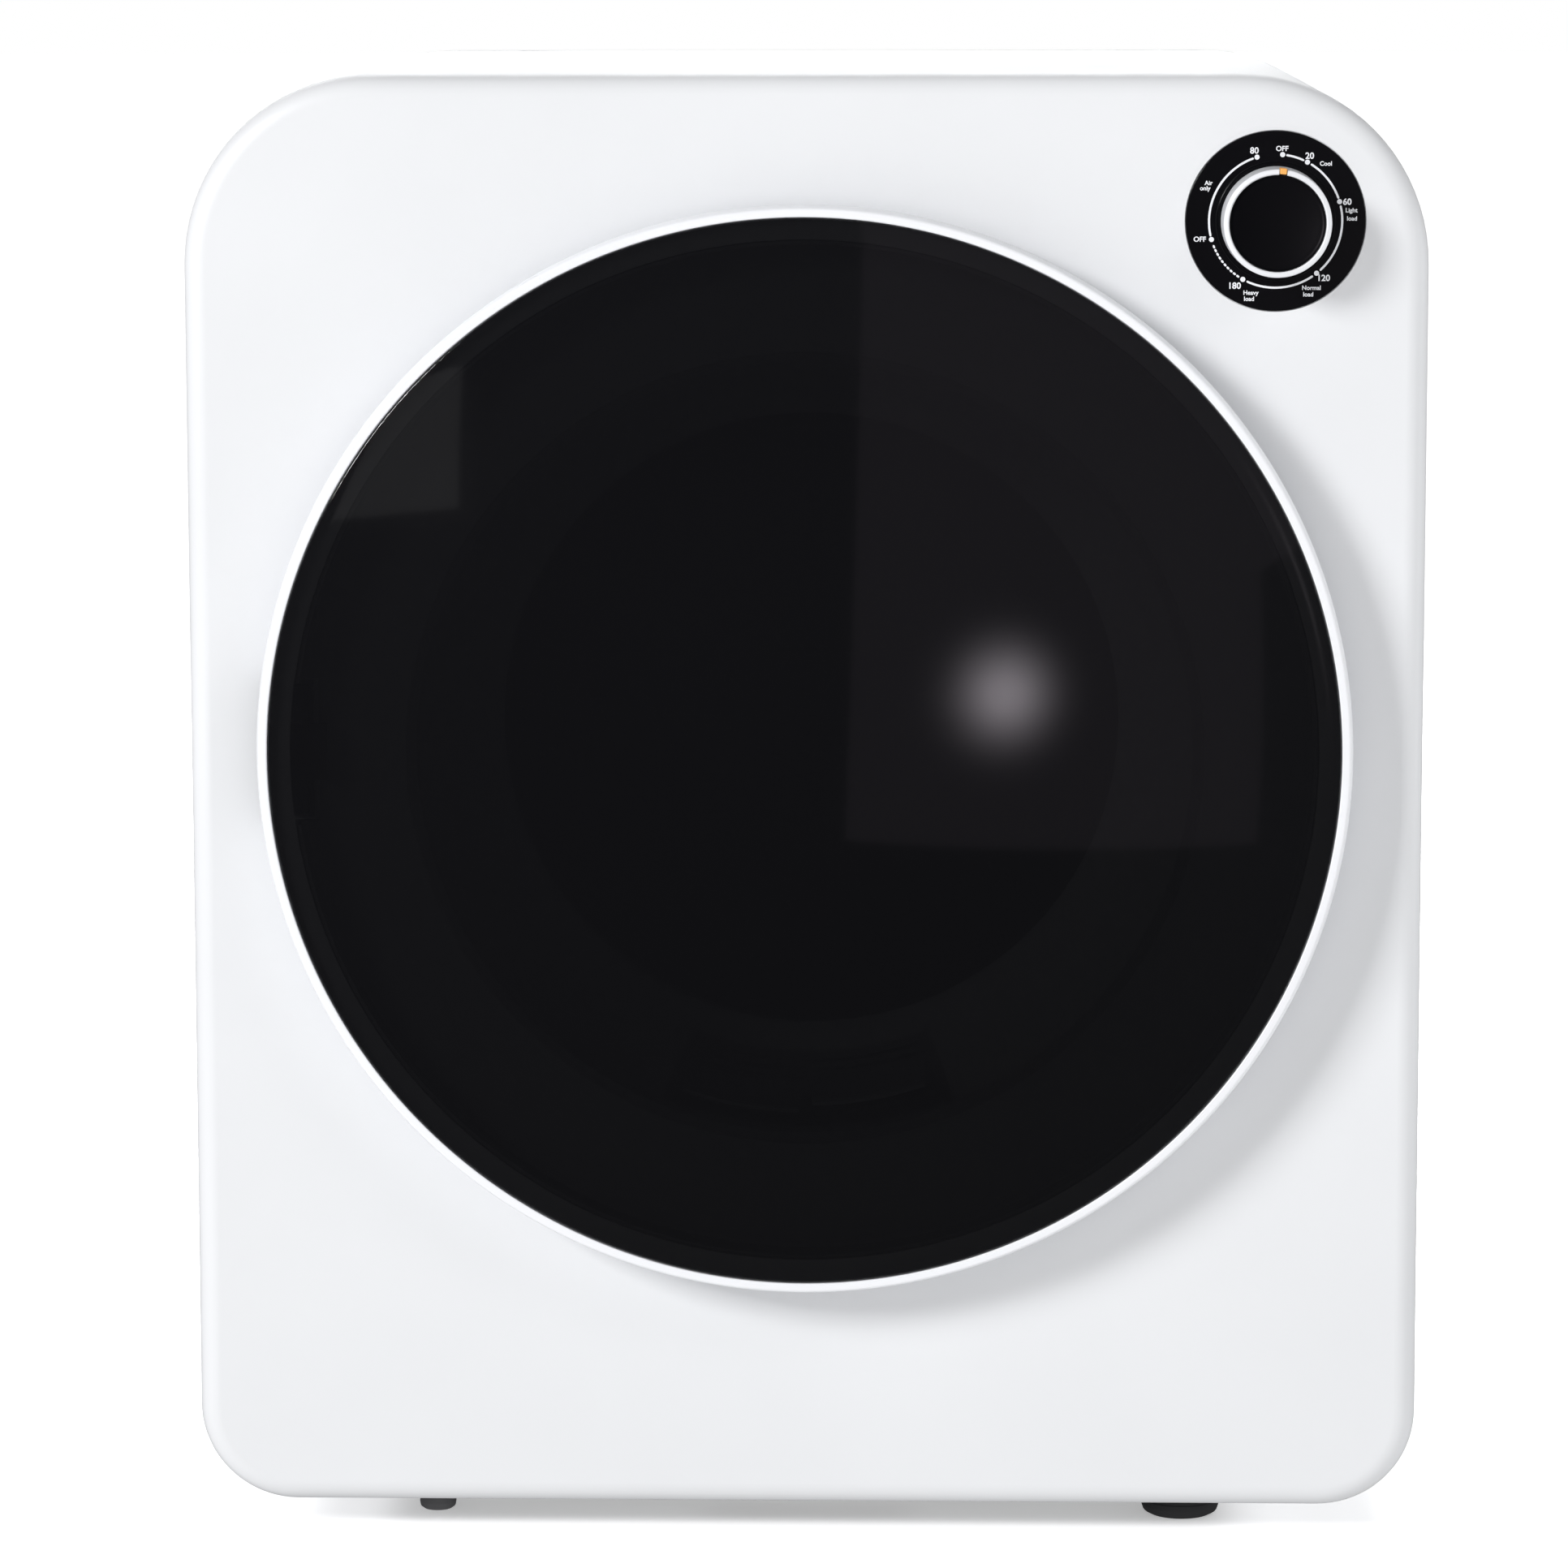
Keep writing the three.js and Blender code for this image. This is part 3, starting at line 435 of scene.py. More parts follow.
def moulded(name, colour, roughness, grain=1400, depth=0.02, spread=0.015, metallic=0.0, **more):
    """Painted or moulded surface: a faint cloud of tone, uneven gloss and a fine grain."""
    nodes = Nodes(name)
    place = nodes.place()
    cloud = nodes.noise(place, 6, 4)
    fine = nodes.noise(place, grain, 3)
    nodes.colours(cloud, *shades(colour, spread))
    nodes.link(nodes.span(cloud, roughness - 0.03, roughness + 0.03), nodes.shader.inputs["Roughness"])
    nodes.bump(fine, 0.25, depth)
    nodes.fixed(Metallic=metallic, **more)
    return nodes.material


METAL = 0.9


def brushed(name, colour, roughness, stretch):
    """Metal with long fine scratches along one axis."""
    nodes = Nodes(name)
    lines = nodes.noise(nodes.place(stretch), 60, 6, 0.7)
    cloud = nodes.noise(nodes.place(), 9, 3)
    nodes.colours(lines, *shades(colour, 0.12))
    nodes.link(nodes.span(cloud, roughness - 0.05, roughness + 0.07), nodes.shader.inputs["Roughness"])
    nodes.bump(lines, 0.15, 0.02)
    nodes.fixed(Metallic=METAL)
    return nodes.material


def ringed(name, colour, roughness):
    """Metal brushed round the door's axis, as a rolled drum is."""
    nodes = Nodes(name)
    spot = nodes.place()
    split = nodes.add("SeparateXYZ")
    nodes.link(spot, split.inputs["Vector"])
    height = nodes.maths("SUBTRACT", split.outputs["Z"], AXIS * MM)
    angle = nodes.add("Math", operation="ARCTAN2")
    nodes.link(height, angle.inputs[0])
    nodes.link(split.outputs["X"], angle.inputs[1])
    across = nodes.add("CombineXYZ")
    nodes.link(angle.outputs[0], across.inputs["X"])
    nodes.link(split.outputs["Y"], across.inputs["Y"])
    reach = nodes.add("VectorMath", operation="LENGTH")
    flat = nodes.add("CombineXYZ")
    nodes.link(split.outputs["X"], flat.inputs["X"])
    nodes.link(height, flat.inputs["Y"])
    nodes.link(flat.outputs["Vector"], reach.inputs[0])
    nodes.link(reach.outputs["Value"], across.inputs["Z"])
    stretch = nodes.add("Mapping")
    stretch.inputs["Scale"].default_value = (0.6, 40, 40)
    nodes.link(across.outputs["Vector"], stretch.inputs["Vector"])
    lines = nodes.noise(stretch.outputs["Vector"], 40, 6, 0.7)
    nodes.colours(lines, *shades(colour, 0.14))
    nodes.link(nodes.span(lines, roughness - 0.06, roughness + 0.08), nodes.shader.inputs["Roughness"])
    nodes.bump(lines, 0.2, 0.02)
    nodes.fixed(Metallic=METAL)
    return nodes.material


def spangled(name, colour, roughness):
    """Zinc coating with its crystal flakes."""
    nodes = Nodes(name)
    place = nodes.place()
    cells = nodes.add("TexVoronoi", Scale=95.0)
    nodes.link(place, cells.inputs["Vector"])
    grey = nodes.add("SeparateColor")
    nodes.link(cells.outputs["Color"], grey.inputs["Color"])
    nodes.colours(grey.outputs["Red"], *shades(colour, 0.09), low=0, high=1)
    nodes.link(nodes.span(grey.outputs["Green"], roughness - 0.09, roughness + 0.09, 0, 1),
               nodes.shader.inputs["Roughness"])
    nodes.bump(nodes.noise(place, 500, 4), 0.2, 0.02)
    nodes.fixed(Metallic=0.85)
    return nodes.material


def felted(name, colour):
    nodes = Nodes(name)
    place = nodes.place()
    fibres = nodes.noise(nodes.place((1, 6, 1)), 420, 6, 0.75)
    nodes.colours(nodes.noise(place, 160, 5), *shades(colour, 0.3))
    nodes.bump(fibres, 0.8, 0.4)
    nodes.fixed(Roughness=0.95, Sheen_Weight=0.3)
    return nodes.material


def clear(name, colour, roughness, alpha):
    """See-through moulding: one plain alpha, with no texture that the export would lose."""
    nodes = Nodes(name)
    nodes.fixed(Base_Color=(*colour, 1), Roughness=roughness, Alpha=alpha, IOR=1.5)
    nodes.material.blend_method = "BLEND"
    return nodes.material


WHITE = (0.756, 0.765, 0.784)
LOOKS = {
    "white_plastic": moulded("white_plastic", WHITE, 0.36, grain=900, depth=0.012),
    "door_white": moulded("door_white", (0.84, 0.85, 0.88), 0.3, grain=1100, depth=0.01),
    "white_steel": moulded("white_steel", WHITE, 0.34, grain=520, depth=0.03),
    "galvanised": spangled("galvanised", (0.60, 0.62, 0.63), 0.42),
    "stainless": ringed("stainless", (0.60, 0.60, 0.59), 0.34),
    "smoked_lens": clear("smoked_lens", (0.0040, 0.0040, 0.0055), 0.05, 0.75),
    "window": clear("window", (0.30, 0.31, 0.33), 0.05, 0.14),
    "black_plastic": moulded("black_plastic", (0.0065, 0.0068, 0.009), 0.42, grain=2400, spread=0.05),
    "dial_black": moulded("dial_black", (0.0016, 0.0017, 0.0026), 0.16, grain=2600, depth=0.004, spread=0.05,
                          Specular_IOR_Level=0.2),
    "grey_plastic": moulded("grey_plastic", (0.36, 0.37, 0.39), 0.48, grain=1500, depth=0.03, spread=0.04),
    "foot_grey": moulded("foot_grey", (0.085, 0.085, 0.09), 0.5, grain=1500, depth=0.02, spread=0.05),
    "rubber": moulded("rubber", (0.022, 0.022, 0.024), 0.72, grain=1100, depth=0.06, spread=0.15),
    "felt": felted("felt", (0.42, 0.40, 0.36)),
    "steel": brushed("steel", (0.46, 0.47, 0.48), 0.36, (1, 12, 1)),
    "motor": moulded("motor", (0.09, 0.10, 0.11), 0.45, grain=700, depth=0.05, spread=0.1, metallic=0.3),
    "silver": moulded("silver", (0.80, 0.81, 0.84), 0.26, grain=1600, depth=0.008),
    "orange": moulded("orange", (0.90, 0.42, 0.10), 0.38, grain=1800, spread=0.03),
    "print": moulded("print", (0.82, 0.83, 0.86), 0.5, grain=3000, depth=0.004),
}


# ---- Camera ----

CAMERA_AT = (80.5, -3168.8, 784.5)
CAMERA_TURN = (-1.76, 8.05, -0.1)
LENS = 142.9


def add_camera():
    """Looks along +Y, turned by yaw, then pitched down, then rolled, all in degrees."""
    yaw, pitch, roll = (math.radians(v) for v in CAMERA_TURN)
    ahead = Vector((math.sin(yaw) * math.cos(pitch), math.cos(yaw) * math.cos(pitch), -math.sin(pitch)))
    right = Vector((math.cos(yaw), -math.sin(yaw), 0))
    up = right.cross(ahead)
    right, up = (
        right * math.cos(roll) + up * math.sin(roll),
        up * math.cos(roll) - right * math.sin(roll),
    )
    data = bpy.data.cameras.new("camera")
    data.lens = LENS
    data.sensor_width = 36
    data.clip_end = 100
    camera = bpy.data.objects.new("camera", data)
    turn = Matrix((right, up, -ahead)).transposed().to_4x4()
    camera.matrix_world = Matrix.Translation(Vector(CAMERA_AT) * MM) @ turn
    bpy.context.collection.objects.link(camera)
    bpy.context.scene.camera = camera


# ---- Light and floor ----

ROOM_BASE = 0.32
ROOM_FRONT = 0.46
ROOM_BELOW = 0.55
ROOM_OVERHEAD = 0.2
REFLECTED_ROOM = 0.085
FLOOR_SIZE = 30000
FLOOR_GLOW = (0.35, 1.0)
FLOOR_REACH = (0.35, 1.6)
SOFTBOX_GLOW = 0.35


def add_light(name, place, target, size, power, glossy=False):
    data = bpy.data.lights.new(name, "AREA")
    data.shape = "RECTANGLE"
    data.size, data.size_y = (v * MM for v in size)
    data.energy = power
    light = bpy.data.objects.new(name, data)
    light.location = Vector(place) * MM
    light.rotation_euler = (Vector(target) - Vector(place)).to_track_quat("-Z", "Y").to_euler()
    light.visible_glossy = glossy
    bpy.context.collection.objects.link(light)


def add_world():
    """White to the camera; to everything else a soft room, bright in front and below, dark overhead."""
    world = bpy.data.worlds.new("studio")
    bpy.context.scene.world = world
    world.use_nodes = True
    tree = world.node_tree
    tree.nodes.clear()

    def background(strength):
        node = tree.nodes.new("ShaderNodeBackground")
        node.inputs["Color"].default_value = (1, 1, 1, 1)
        node.inputs["Strength"].default_value = strength
        return node

    def mixed(choice, no, yes):
        node = tree.nodes.new("ShaderNodeMixShader")
        tree.links.new(choice, node.inputs["Fac"])
        tree.links.new(no.outputs[0], node.inputs[1])
        tree.links.new(yes.outputs[0], node.inputs[2])
        return node

    path = tree.nodes.new("ShaderNodeLightPath")
    split = tree.nodes.new("ShaderNodeSeparateXYZ")
    tree.links.new(tree.nodes.new("ShaderNodeTexCoord").outputs["Generated"], split.inputs[0])
    strength = tree.nodes.new("ShaderNodeMath")
    strength.operation = "MULTIPLY_ADD"

    def add_range(socket, axis, *values):
        node = tree.nodes.new("ShaderNodeMapRange")
        for name, value in zip(("From Min", "From Max", "To Min", "To Max"), values):
            node.inputs[name].default_value = value
        tree.links.new(split.outputs[axis], node.inputs["Value"])
        tree.links.new(node.outputs["Result"], strength.inputs[socket])

    add_range(0, "Y", 0, -1, ROOM_BASE, ROOM_BASE + ROOM_FRONT)
    add_range(1, "Z", 0.1, 0.8, 1, ROOM_OVERHEAD)
    add_range(2, "Z", -0.1, -0.8, 0, ROOM_BELOW)
    room = background(1)
    tree.links.new(strength.outputs[0], room.inputs["Strength"])
    lit = mixed(path.outputs["Is Glossy Ray"], room, background(REFLECTED_ROOM))
    shown = mixed(path.outputs["Is Camera Ray"], lit, background(1))
    out = tree.nodes.new("ShaderNodeOutputWorld")
    tree.links.new(shown.outputs[0], out.inputs["Surface"])


def add_floor():
    """Pale floor that glows more the further it is from the dryer, so its far edge is as white as
    the world. It doesn't light the dryer from below; the world does that."""
    size = FLOOR_SIZE
    corner_points = [(-size, -size, 0), (size, -size, 0), (size, size, 0), (-size, size, 0)]
    floor = to_object("floor", Shape().add(corner_points, [[0, 1, 2, 3]]))
    nodes = Nodes("floor")
    nodes.fixed(Base_Color=(0.93, 0.93, 0.94, 1), Roughness=0.9)
    nodes.fixed(Specular_IOR_Level=0.0, Emission_Color=(1, 1, 1, 1))
    length = nodes.add("VectorMath", operation="LENGTH")
    nodes.link(nodes.add("TexCoord").outputs["Object"], length.inputs[0])
    glowing = nodes.span(length.outputs["Value"], *FLOOR_GLOW, *FLOOR_REACH)
    nodes.link(glowing, nodes.shader.inputs["Emission Strength"])
    floor.data.materials.append(nodes.material)
    floor.visible_glossy = False
    floor.visible_diffuse = False


def emitting_card(name, outline, depth, build):
    """Upright card in front of the dryer that shows only in glossy reflections."""
    card = to_object(name, Shape().add(
        [(x, FACE - depth, z) for x, z in outline], [list(range(len(outline)))]))
    nodes = Nodes(name)
    nodes.tree.nodes.remove(nodes.shader)
    emission = nodes.add("Emission")
    build(nodes, emission)
    nodes.link(emission.outputs[0], nodes.tree.nodes["Material Output"].inputs["Surface"])
    card.data.materials.append(nodes.material)
    card.visible_camera = False
    card.visible_diffuse = False
    card.visible_shadow = False


GLOW_AT = (1122, 236)
GLOW_SIZE = 170
GLOW_PEAK = 5.5
WALL_GLOW = 0.20
CARD_DEPTH = 4275


def glow(nodes, emission):
    """A wall of even grey with a round lamp's soft glow on it."""
    spot = nodes.add("TexCoord")
    offset = nodes.add("VectorMath", operation="DISTANCE")
    offset.inputs[1].default_value = Vector((GLOW_AT[0], FACE - CARD_DEPTH, GLOW_AT[1])) * MM
    nodes.link(spot.outputs["Object"], offset.inputs[0])
    squared = nodes.maths("POWER", offset.outputs["Value"], 2)
    scaled = nodes.maths("MULTIPLY", squared, -0.5 / (GLOW_SIZE * MM) ** 2)
    bell = nodes.maths("EXPONENT", scaled)
    strength = nodes.maths("MULTIPLY_ADD", bell, GLOW_PEAK, WALL_GLOW)
    nodes.link(strength, emission.inputs["Strength"])
    emission.inputs["Color"].default_value = (1.0, 0.92, 1.0, 1)


def plain_glow(strength):
    def build(nodes, emission):
        emission.inputs["Strength"].default_value = strength
    return build


def add_studio():
    centre = (0, FACE, AXIS)
    add_light("key", (-5250, FACE - 4275, AXIS + 3150), centre, (2025, 2025), 440, glossy=True)
    add_light("right", (2400, FACE - 2000, AXIS + 2400), centre, (1100, 1100), 14)
    add_light("side", (3800, FACE + 150, AXIS + 200), (0, FACE + 150, AXIS), (2000, 2000), 70)
    add_light("low", (0, FACE - 3000, 250), (0, FACE, 60), (2600, 700), 8)
    add_light("rear_top", (-200, 2600, 1900), (0, 0, HIGH), (2600, 1500), 290)
    emitting_card("wall", [(150, -650), (3000, -900), (3000, 1000), (3700, 1300), (3700, 4000), (300, 4000)],
                  CARD_DEPTH, glow)
    emitting_card("softbox", [(-3600, 1350), (-2400, 1400), (-2500, 2400), (-3300, 2600)],
                  CARD_DEPTH - 10, plain_glow(SOFTBOX_GLOW))
    bpy.context.scene.view_settings.view_transform = "Standard"


# ---- Cabinet ----

def round_loop(outline, radius, depth):
    """Circle about the door's axis whose points lie towards the outline's points."""
    loop = []
    for x, z in outline:
        angle = math.atan2(z - AXIS, x)
        loop.append((radius * math.cos(angle), FACE + depth, AXIS + radius * math.sin(angle)))
    return loop


def quarter(radius, steps=8):
    """(inset, depth) round a front edge, from the side to the face."""
    angles = [math.pi / 2 * i / steps for i in range(steps + 1)]
    return [(radius - radius * math.cos(a), radius - radius * math.sin(a)) for a in angles]


def front_panel():
    outline = cabinet_outline(PANEL_ROUNDING)

    wall = PANEL_WALL
    outer = [(0.6, PANEL_DEPTH), (0, PANEL_DEPTH - 0.6), *quarter(PANEL_ROUNDING)]
    inner = [(wall + i, wall + d) for i, d in quarter(PANEL_ROUNDING - wall)][::-1]
    mouth = rounded([
        (MOUTH_RADIUS + 8, 0), (MOUTH_RADIUS, 0, 2.4), (MOUTH_RADIUS, 10, 0.5),
        (MOUTH_RADIUS + 3, 10, 0.5), (MOUTH_RADIUS + 3, wall, 1), (MOUTH_RADIUS + 12, wall),
    ], closed=False)
    loops = [cabinet_loop(i, d) for i, d in outer]
    loops += [round_loop(outline, r, d) for r, d in mouth]
    loops += [cabinet_loop(i, d) for i, d in inner]
    loops.append(cabinet_loop(wall, PANEL_DEPTH))
    thing = to_object("dryer_front_panel", loft(loops))
    latch_x = middle("switch_plunger").x
    switch_z = middle("switch_plunger").z
    carve(thing, [
        rod(DIAL_RADIUS + 0.4, -5, 1.2, DIAL.x, DIAL.z, 160),
        rod(6, -5, 8, DIAL.x, DIAL.z, 48),
        prism(rounded([
            (latch_x - 5, AXIS - 13, 2), (latch_x + 5, AXIS - 13, 2),
            (latch_x + 5, AXIS + 13, 2), (latch_x - 5, AXIS + 13, 2),
        ]), -5, 8),
        rod(3.6, -5, 8, latch_x, switch_z, 40),
    ])
    finish_piece(thing, "white_plastic", replaces=["front_panel"])


def cabinet_wrap():
    front, rear = depth_of("cabinet_wrap")
    half = 205
    bead = [(SEAM_DEPTH - 1.6, 0), (SEAM_DEPTH - 1.1, 0.25), (SEAM_DEPTH - 0.9, 0.75),
            (SEAM_DEPTH + 0.9, 0.75), (SEAM_DEPTH + 1.1, 0.25), (SEAM_DEPTH + 1.6, 0)]
    outside = [(front, 0.5), (front + 0.15, 0.15), (front + 0.5, 0), *bead,
               (rear - 0.5, 0), (rear - 0.15, 0.15), (rear, 0.5)]
    inside = [(rear, 1), (SEAM_DEPTH + 1.4, 1), (SEAM_DEPTH + 1, 1.5), (SEAM_DEPTH - 1, 1.5),
              (SEAM_DEPTH - 1.4, 1), (front, 1)]
    loops = [cabinet_loop(inset, depth, half) for depth, inset in outside + inside]
    thing = to_object("dryer_cabinet_wrap", loft(loops, around=False))
    finish_piece(thing, "white_steel", replaces=["cabinet_wrap"])


LOUVRE_HALF = 70
LOUVRE_ROWS = 5
LOUVRE_PITCH = 20
LOUVRE_LOW = 560
LOUVRE_X = (-110, 110)


def rear_cover():
    front, rear = depth_of("rear_cover")
    wall = 1.2
    radius = 6

    outer = [(i, rear - d) for i, d in quarter(radius)][::-1]
    inner = [(wall + i, rear - wall - d) for i, d in quarter(radius - wall)]
    rims = [(40, rear), (24, rear), (22, rear - 0.8), (20, rear - 0.8), (18, rear), *outer, (0, front),
            (wall, front), *inner, (40, rear - wall)]
    thing = to_object("dryer_rear_cover", loft([cabinet_loop(i, d) for i, d in rims], ring=False))
    cuts = [
        rod(51, front, rear + 3, SPIGOT.x, SPIGOT.z, 96),
        rod(9, front, rear + 3, GLAND.x, GLAND.z, 48),
    ]
    for x, z in louvre_places():
        cuts.append(prism(rounded([
            (x - LOUVRE_HALF, z, 1.9), (x + LOUVRE_HALF, z, 1.9),
            (x + LOUVRE_HALF, z + 4, 1.9), (x - LOUVRE_HALF, z + 4, 1.9),
        ]), front, rear + 3))
    carve(thing, cuts)
    finish_piece(thing, "galvanised", replaces=["rear_cover"])


def louvre_places():
    return [(x, LOUVRE_LOW + LOUVRE_PITCH * row) for row in range(LOUVRE_ROWS) for x in LOUVRE_X]


def louvre_hoods():
    """A pressed hood over each slot, open below."""
    rear = depth_of("rear_cover")[1]
    shape = Shape()
    steps, turns = 28, 8
    for x, z in louvre_places():
        loops = []
        for i in range(steps + 1):
            across = -1 + 2 * i / steps
            bulge = (1 - abs(across) ** 8) ** 0.5 if abs(across) < 1 else 0
            loop = []
            for out, high in ((3.4, 7.2), (2.6, 6.2)):
                angles = [math.pi / 2 * k / turns for k in range(turns + 1)]
                if out < 3:
                    angles = angles[::-1]
                for a in angles:
                    loop.append((
                        x + across * (LOUVRE_HALF + 2),
                        FACE + rear + 0.05 + (out * bulge + 0.1) * math.cos(a),
                        z + (high * (0.35 + 0.65 * bulge)) * math.sin(a),
                    ))
            loops.append(loop)
        shape.merge(loft(loops, ring=False))
    thing = to_object("rear_louvre_hoods", shape)
    finish_piece(thing, "galvanised", angle=45)


def screw(x, z, depth, facing=1, radius=3.6):
    """Pan head with a cross slot. facing 1 looks to the rear, -1 to the front."""
    head = rounded([(0, 0), (radius, 0), (radius, 1.2 * facing, 0.5), (radius * 0.55, 2.2 * facing, 2),
                    (0, 2.3 * facing)])
    thing = to_object("screw", lathe([(r, depth + d) for r, d in head], x, z, 32))
    low, high = sorted((depth + 1.3 * facing, depth + 4 * facing))
    arm = radius * 0.55
    cross = [(-0.45, -arm), (0.45, -arm), (0.45, -0.45), (arm, -0.45), (arm, 0.45), (0.45, 0.45),
             (0.45, arm), (-0.45, arm), (-0.45, 0.45), (-arm, 0.45), (-arm, -0.45), (-0.45, -0.45)]
    carve(thing, [prism([(x + a, z + b) for a, b in cross], low, high)])
    return thing


def screws(name, places, depth, facing, body, radius=3.6):
    """One piece of several screws, all at one depth."""
    made = [screw(x, z, depth, facing, radius) for x, z in places]
    joined(made[0], [other.data for other in made[1:]])
    made[0].name = name
    finish_piece(made[0], "steel", body)


def rear_screws():
    rear = depth_of("rear_cover")[1]
    side = HALF_WIDTH - 12
    places = [(s * side, z) for s in (-1, 1) for z in (90, 350, 590)]
    places += [(x, HIGH - 12) for x in (-160, 0, 160)] + [(x, LOW + 12) for x in (-200, 0, 200)]
    screws("rear_screws", places, rear - 0.3, 1, "cabinet")


def liner_screws():
    radius = (radius_of("door_liner") + radius_of("door_window")) / 2 + 8
    angles = [TAU * (i + 0.5) / 6 for i in range(6)]
    places = [(radius * math.cos(a), AXIS + radius * math.sin(a)) for a in angles]
    screws("liner_screws", places, -2.35, 1, "door", 2.8)


# ---- Door ----

def hinge_pocket():
    return brick(HINGE.x - 14, HINGE.x + 20, 5 - RING_PROUD, 0.5, AXIS - 34, AXIS + 34)


def door_ring():
    front = -RING_PROUD
    r = RING_RADIUS
    seat = LENS_RADIUS + 0.4
    ledge = 4.4 + LENS_EDGE
    profile = rounded([
        (seat, front, 0.7), (r - 1.2, front + 0.2, 1.6), (r, front + 5, 3), (r, -12, 4),
        (r - 5.5, -2, 0.8), (r - 16, -2, 0.4), (r - 16, ledge, 0.4), (seat, ledge, 0.2),
    ])
    thing = turned("door_ring_moulding", profile, 256)
    carve(thing, [hinge_pocket()])
    finish_piece(thing, "door_white", "door", ["door_ring"])


def dome(edge_radius, edge_depth, rise, steps):
    """(radius, depth) along a spherical dome, from its edge to its middle."""
    ball = (edge_radius ** 2 + rise ** 2) / (2 * rise)
    half = math.asin(edge_radius / ball)
    points = []
    for i in range(steps + 1):
        angle = half * (steps - i) / steps
        points.append((ball * math.sin(angle), edge_depth - rise + ball * (1 - math.cos(angle))))
    points[-1] = (0, points[-1][1])
    return points


def door_lens():
    thick = 4
    edge = LENS_EDGE
    rise = DOME_PROUD + edge
    outer = dome(LENS_RADIUS - 0.8, edge - 0.15, rise - 0.15, 40)
    inner = dome(LENS_RADIUS - 8, edge + thick, rise, 30)[::-1]
    rim = [(LENS_RADIUS - 0.4, edge + thick), (LENS_RADIUS, edge + thick - 0.4),
           (LENS_RADIUS, edge + 0.7), (LENS_RADIUS - 0.25, edge + 0.2)]
    thing = turned("door_lens_dome", [*outer, *inner, *rim], 192)
    finish_piece(thing, "smoked_lens", "door", ["door_lens"], angle=50)


def door_liner():
    radius = radius_of("door_liner")
    back = -2
    bowl = radius_of("door_window") - 6
    profile = rounded([
        (radius - 2, -21, 0.5), (radius, -21, 0.5), (radius, back, 1.8), (bowl + 1, back, 0.6),
        (bowl + 1, back - 2.5, 0.3), (radius - 2, back - 2.5, 1),
    ])
    thing = turned("door_liner_moulding", profile, 192)
    carve(thing, [hinge_pocket()])
    finish_piece(thing, "grey_plastic", "door", ["door_liner"])


def door_window():
    rim = radius_of("door_window") - 6
    deep = depth_of("door_window")[1]
    outside = rounded([
        (rim + 6, -4.8, 0.5), (rim, -4.8, 0.5), (rim - 3, 10, 20), (rim - 14, 28, 16),
        (rim - 40, 40, 30), (0, deep),
    ], closed=False, steps=8)
    inside = rounded([
        (0, deep - 3.2), (rim - 42, 36.8, 30), (rim - 16.8, 25.5, 14), (rim - 6, 9, 20),
        (rim - 3.4, -7.4, 2), (rim + 6, -7.4),
    ], closed=False, steps=8)
    thing = turned("door_window_bowl", [*outside, *inside], 192)
    finish_piece(thing, "window", "door", ["door_window"], angle=50)


def door_seal():
    radius = radius_of("door_seal")
    profile = rounded([(radius - 12, -1.7, 0.3), (radius, -1.7, 0.3), (radius - 3, -0.4, 0.6),
                       (radius - 5, -0.95, 0.4), (radius - 7, -0.95, 0.4), (radius - 9, -0.4, 0.6)])
    thing = turned("door_seal_ring", profile, 192)
    finish_piece(thing, "rubber", "door", ["door_seal"])


# ---- Mouth funnel and grille ----

FUNNEL = rounded([
    (MOUTH_RADIUS - 1.5, 10.4), (MOUTH_RADIUS - 5, 28, 60), (MOUTH_RADIUS - 12, 54, 60),
    (THROAT_RADIUS + 20, 79, 40), (THROAT_RADIUS + 9, 97, 20), (THROAT_RADIUS + 2, 106, 6),
    (THROAT_RADIUS, THROAT_DEPTH, 2), (THROAT_RADIUS, THROAT_DEPTH + 4),
], closed=False)
GRILLE_INNER = THROAT_RADIUS + 12
GRILLE_OUTER = MOUTH_RADIUS - 5
GRILLE_ROWS = 6
GRILLE_PITCH = 3.5
SECTOR_TOP, SECTOR_LOW = -135, -200
HALF_TOP, HALF_LOW = 47, 86


def funnel_depth(radius):
    for (r0, d0), (r1, d1) in zip(FUNNEL, FUNNEL[1:]):
        if r0 >= radius >= r1 and r0 > r1:
            return d0 + (d1 - d0) * (r0 - radius) / (r0 - r1)
    return THROAT_DEPTH


def sector_outline(inner, outer, trim, start=0.0, steps=24):
    """Outline (x, z) from the axis, right half: between two radii, from x = start to a side that
    leans outwards going down."""

    def lean(z):
        return HALF_TOP - trim + (SECTOR_TOP - z) * (HALF_LOW - HALF_TOP) / (SECTOR_TOP - SECTOR_LOW)

    def arc(radius):
        x = lean(-radius)
        for _ in range(8):
            x = lean(-math.sqrt(radius ** 2 - x ** 2))
        first, last = math.asin(start / radius), math.asin(x / radius)
        angles = [first + (last - first) * i / steps for i in range(steps + 1)]
        return [(radius * math.sin(a), -radius * math.cos(a)) for a in angles]

    return arc(inner) + arc(outer)[::-1]


def mirrored(outline):
    return [(-x, z) for x, z in outline[::-1]]


def whole_sector(inner, outer, trim):
    right = sector_outline(inner, outer, trim)
    size = len(right) // 2
    inner_arc, outer_arc = right[:size], right[size:]
    left = mirrored(right)
    left_outer, left_inner = left[:size], left[size:]
    return left_inner[:-1] + inner_arc + outer_arc[:-1] + left_outer


def lifted(outline):
    return [(x, z + AXIS) for x, z in outline]


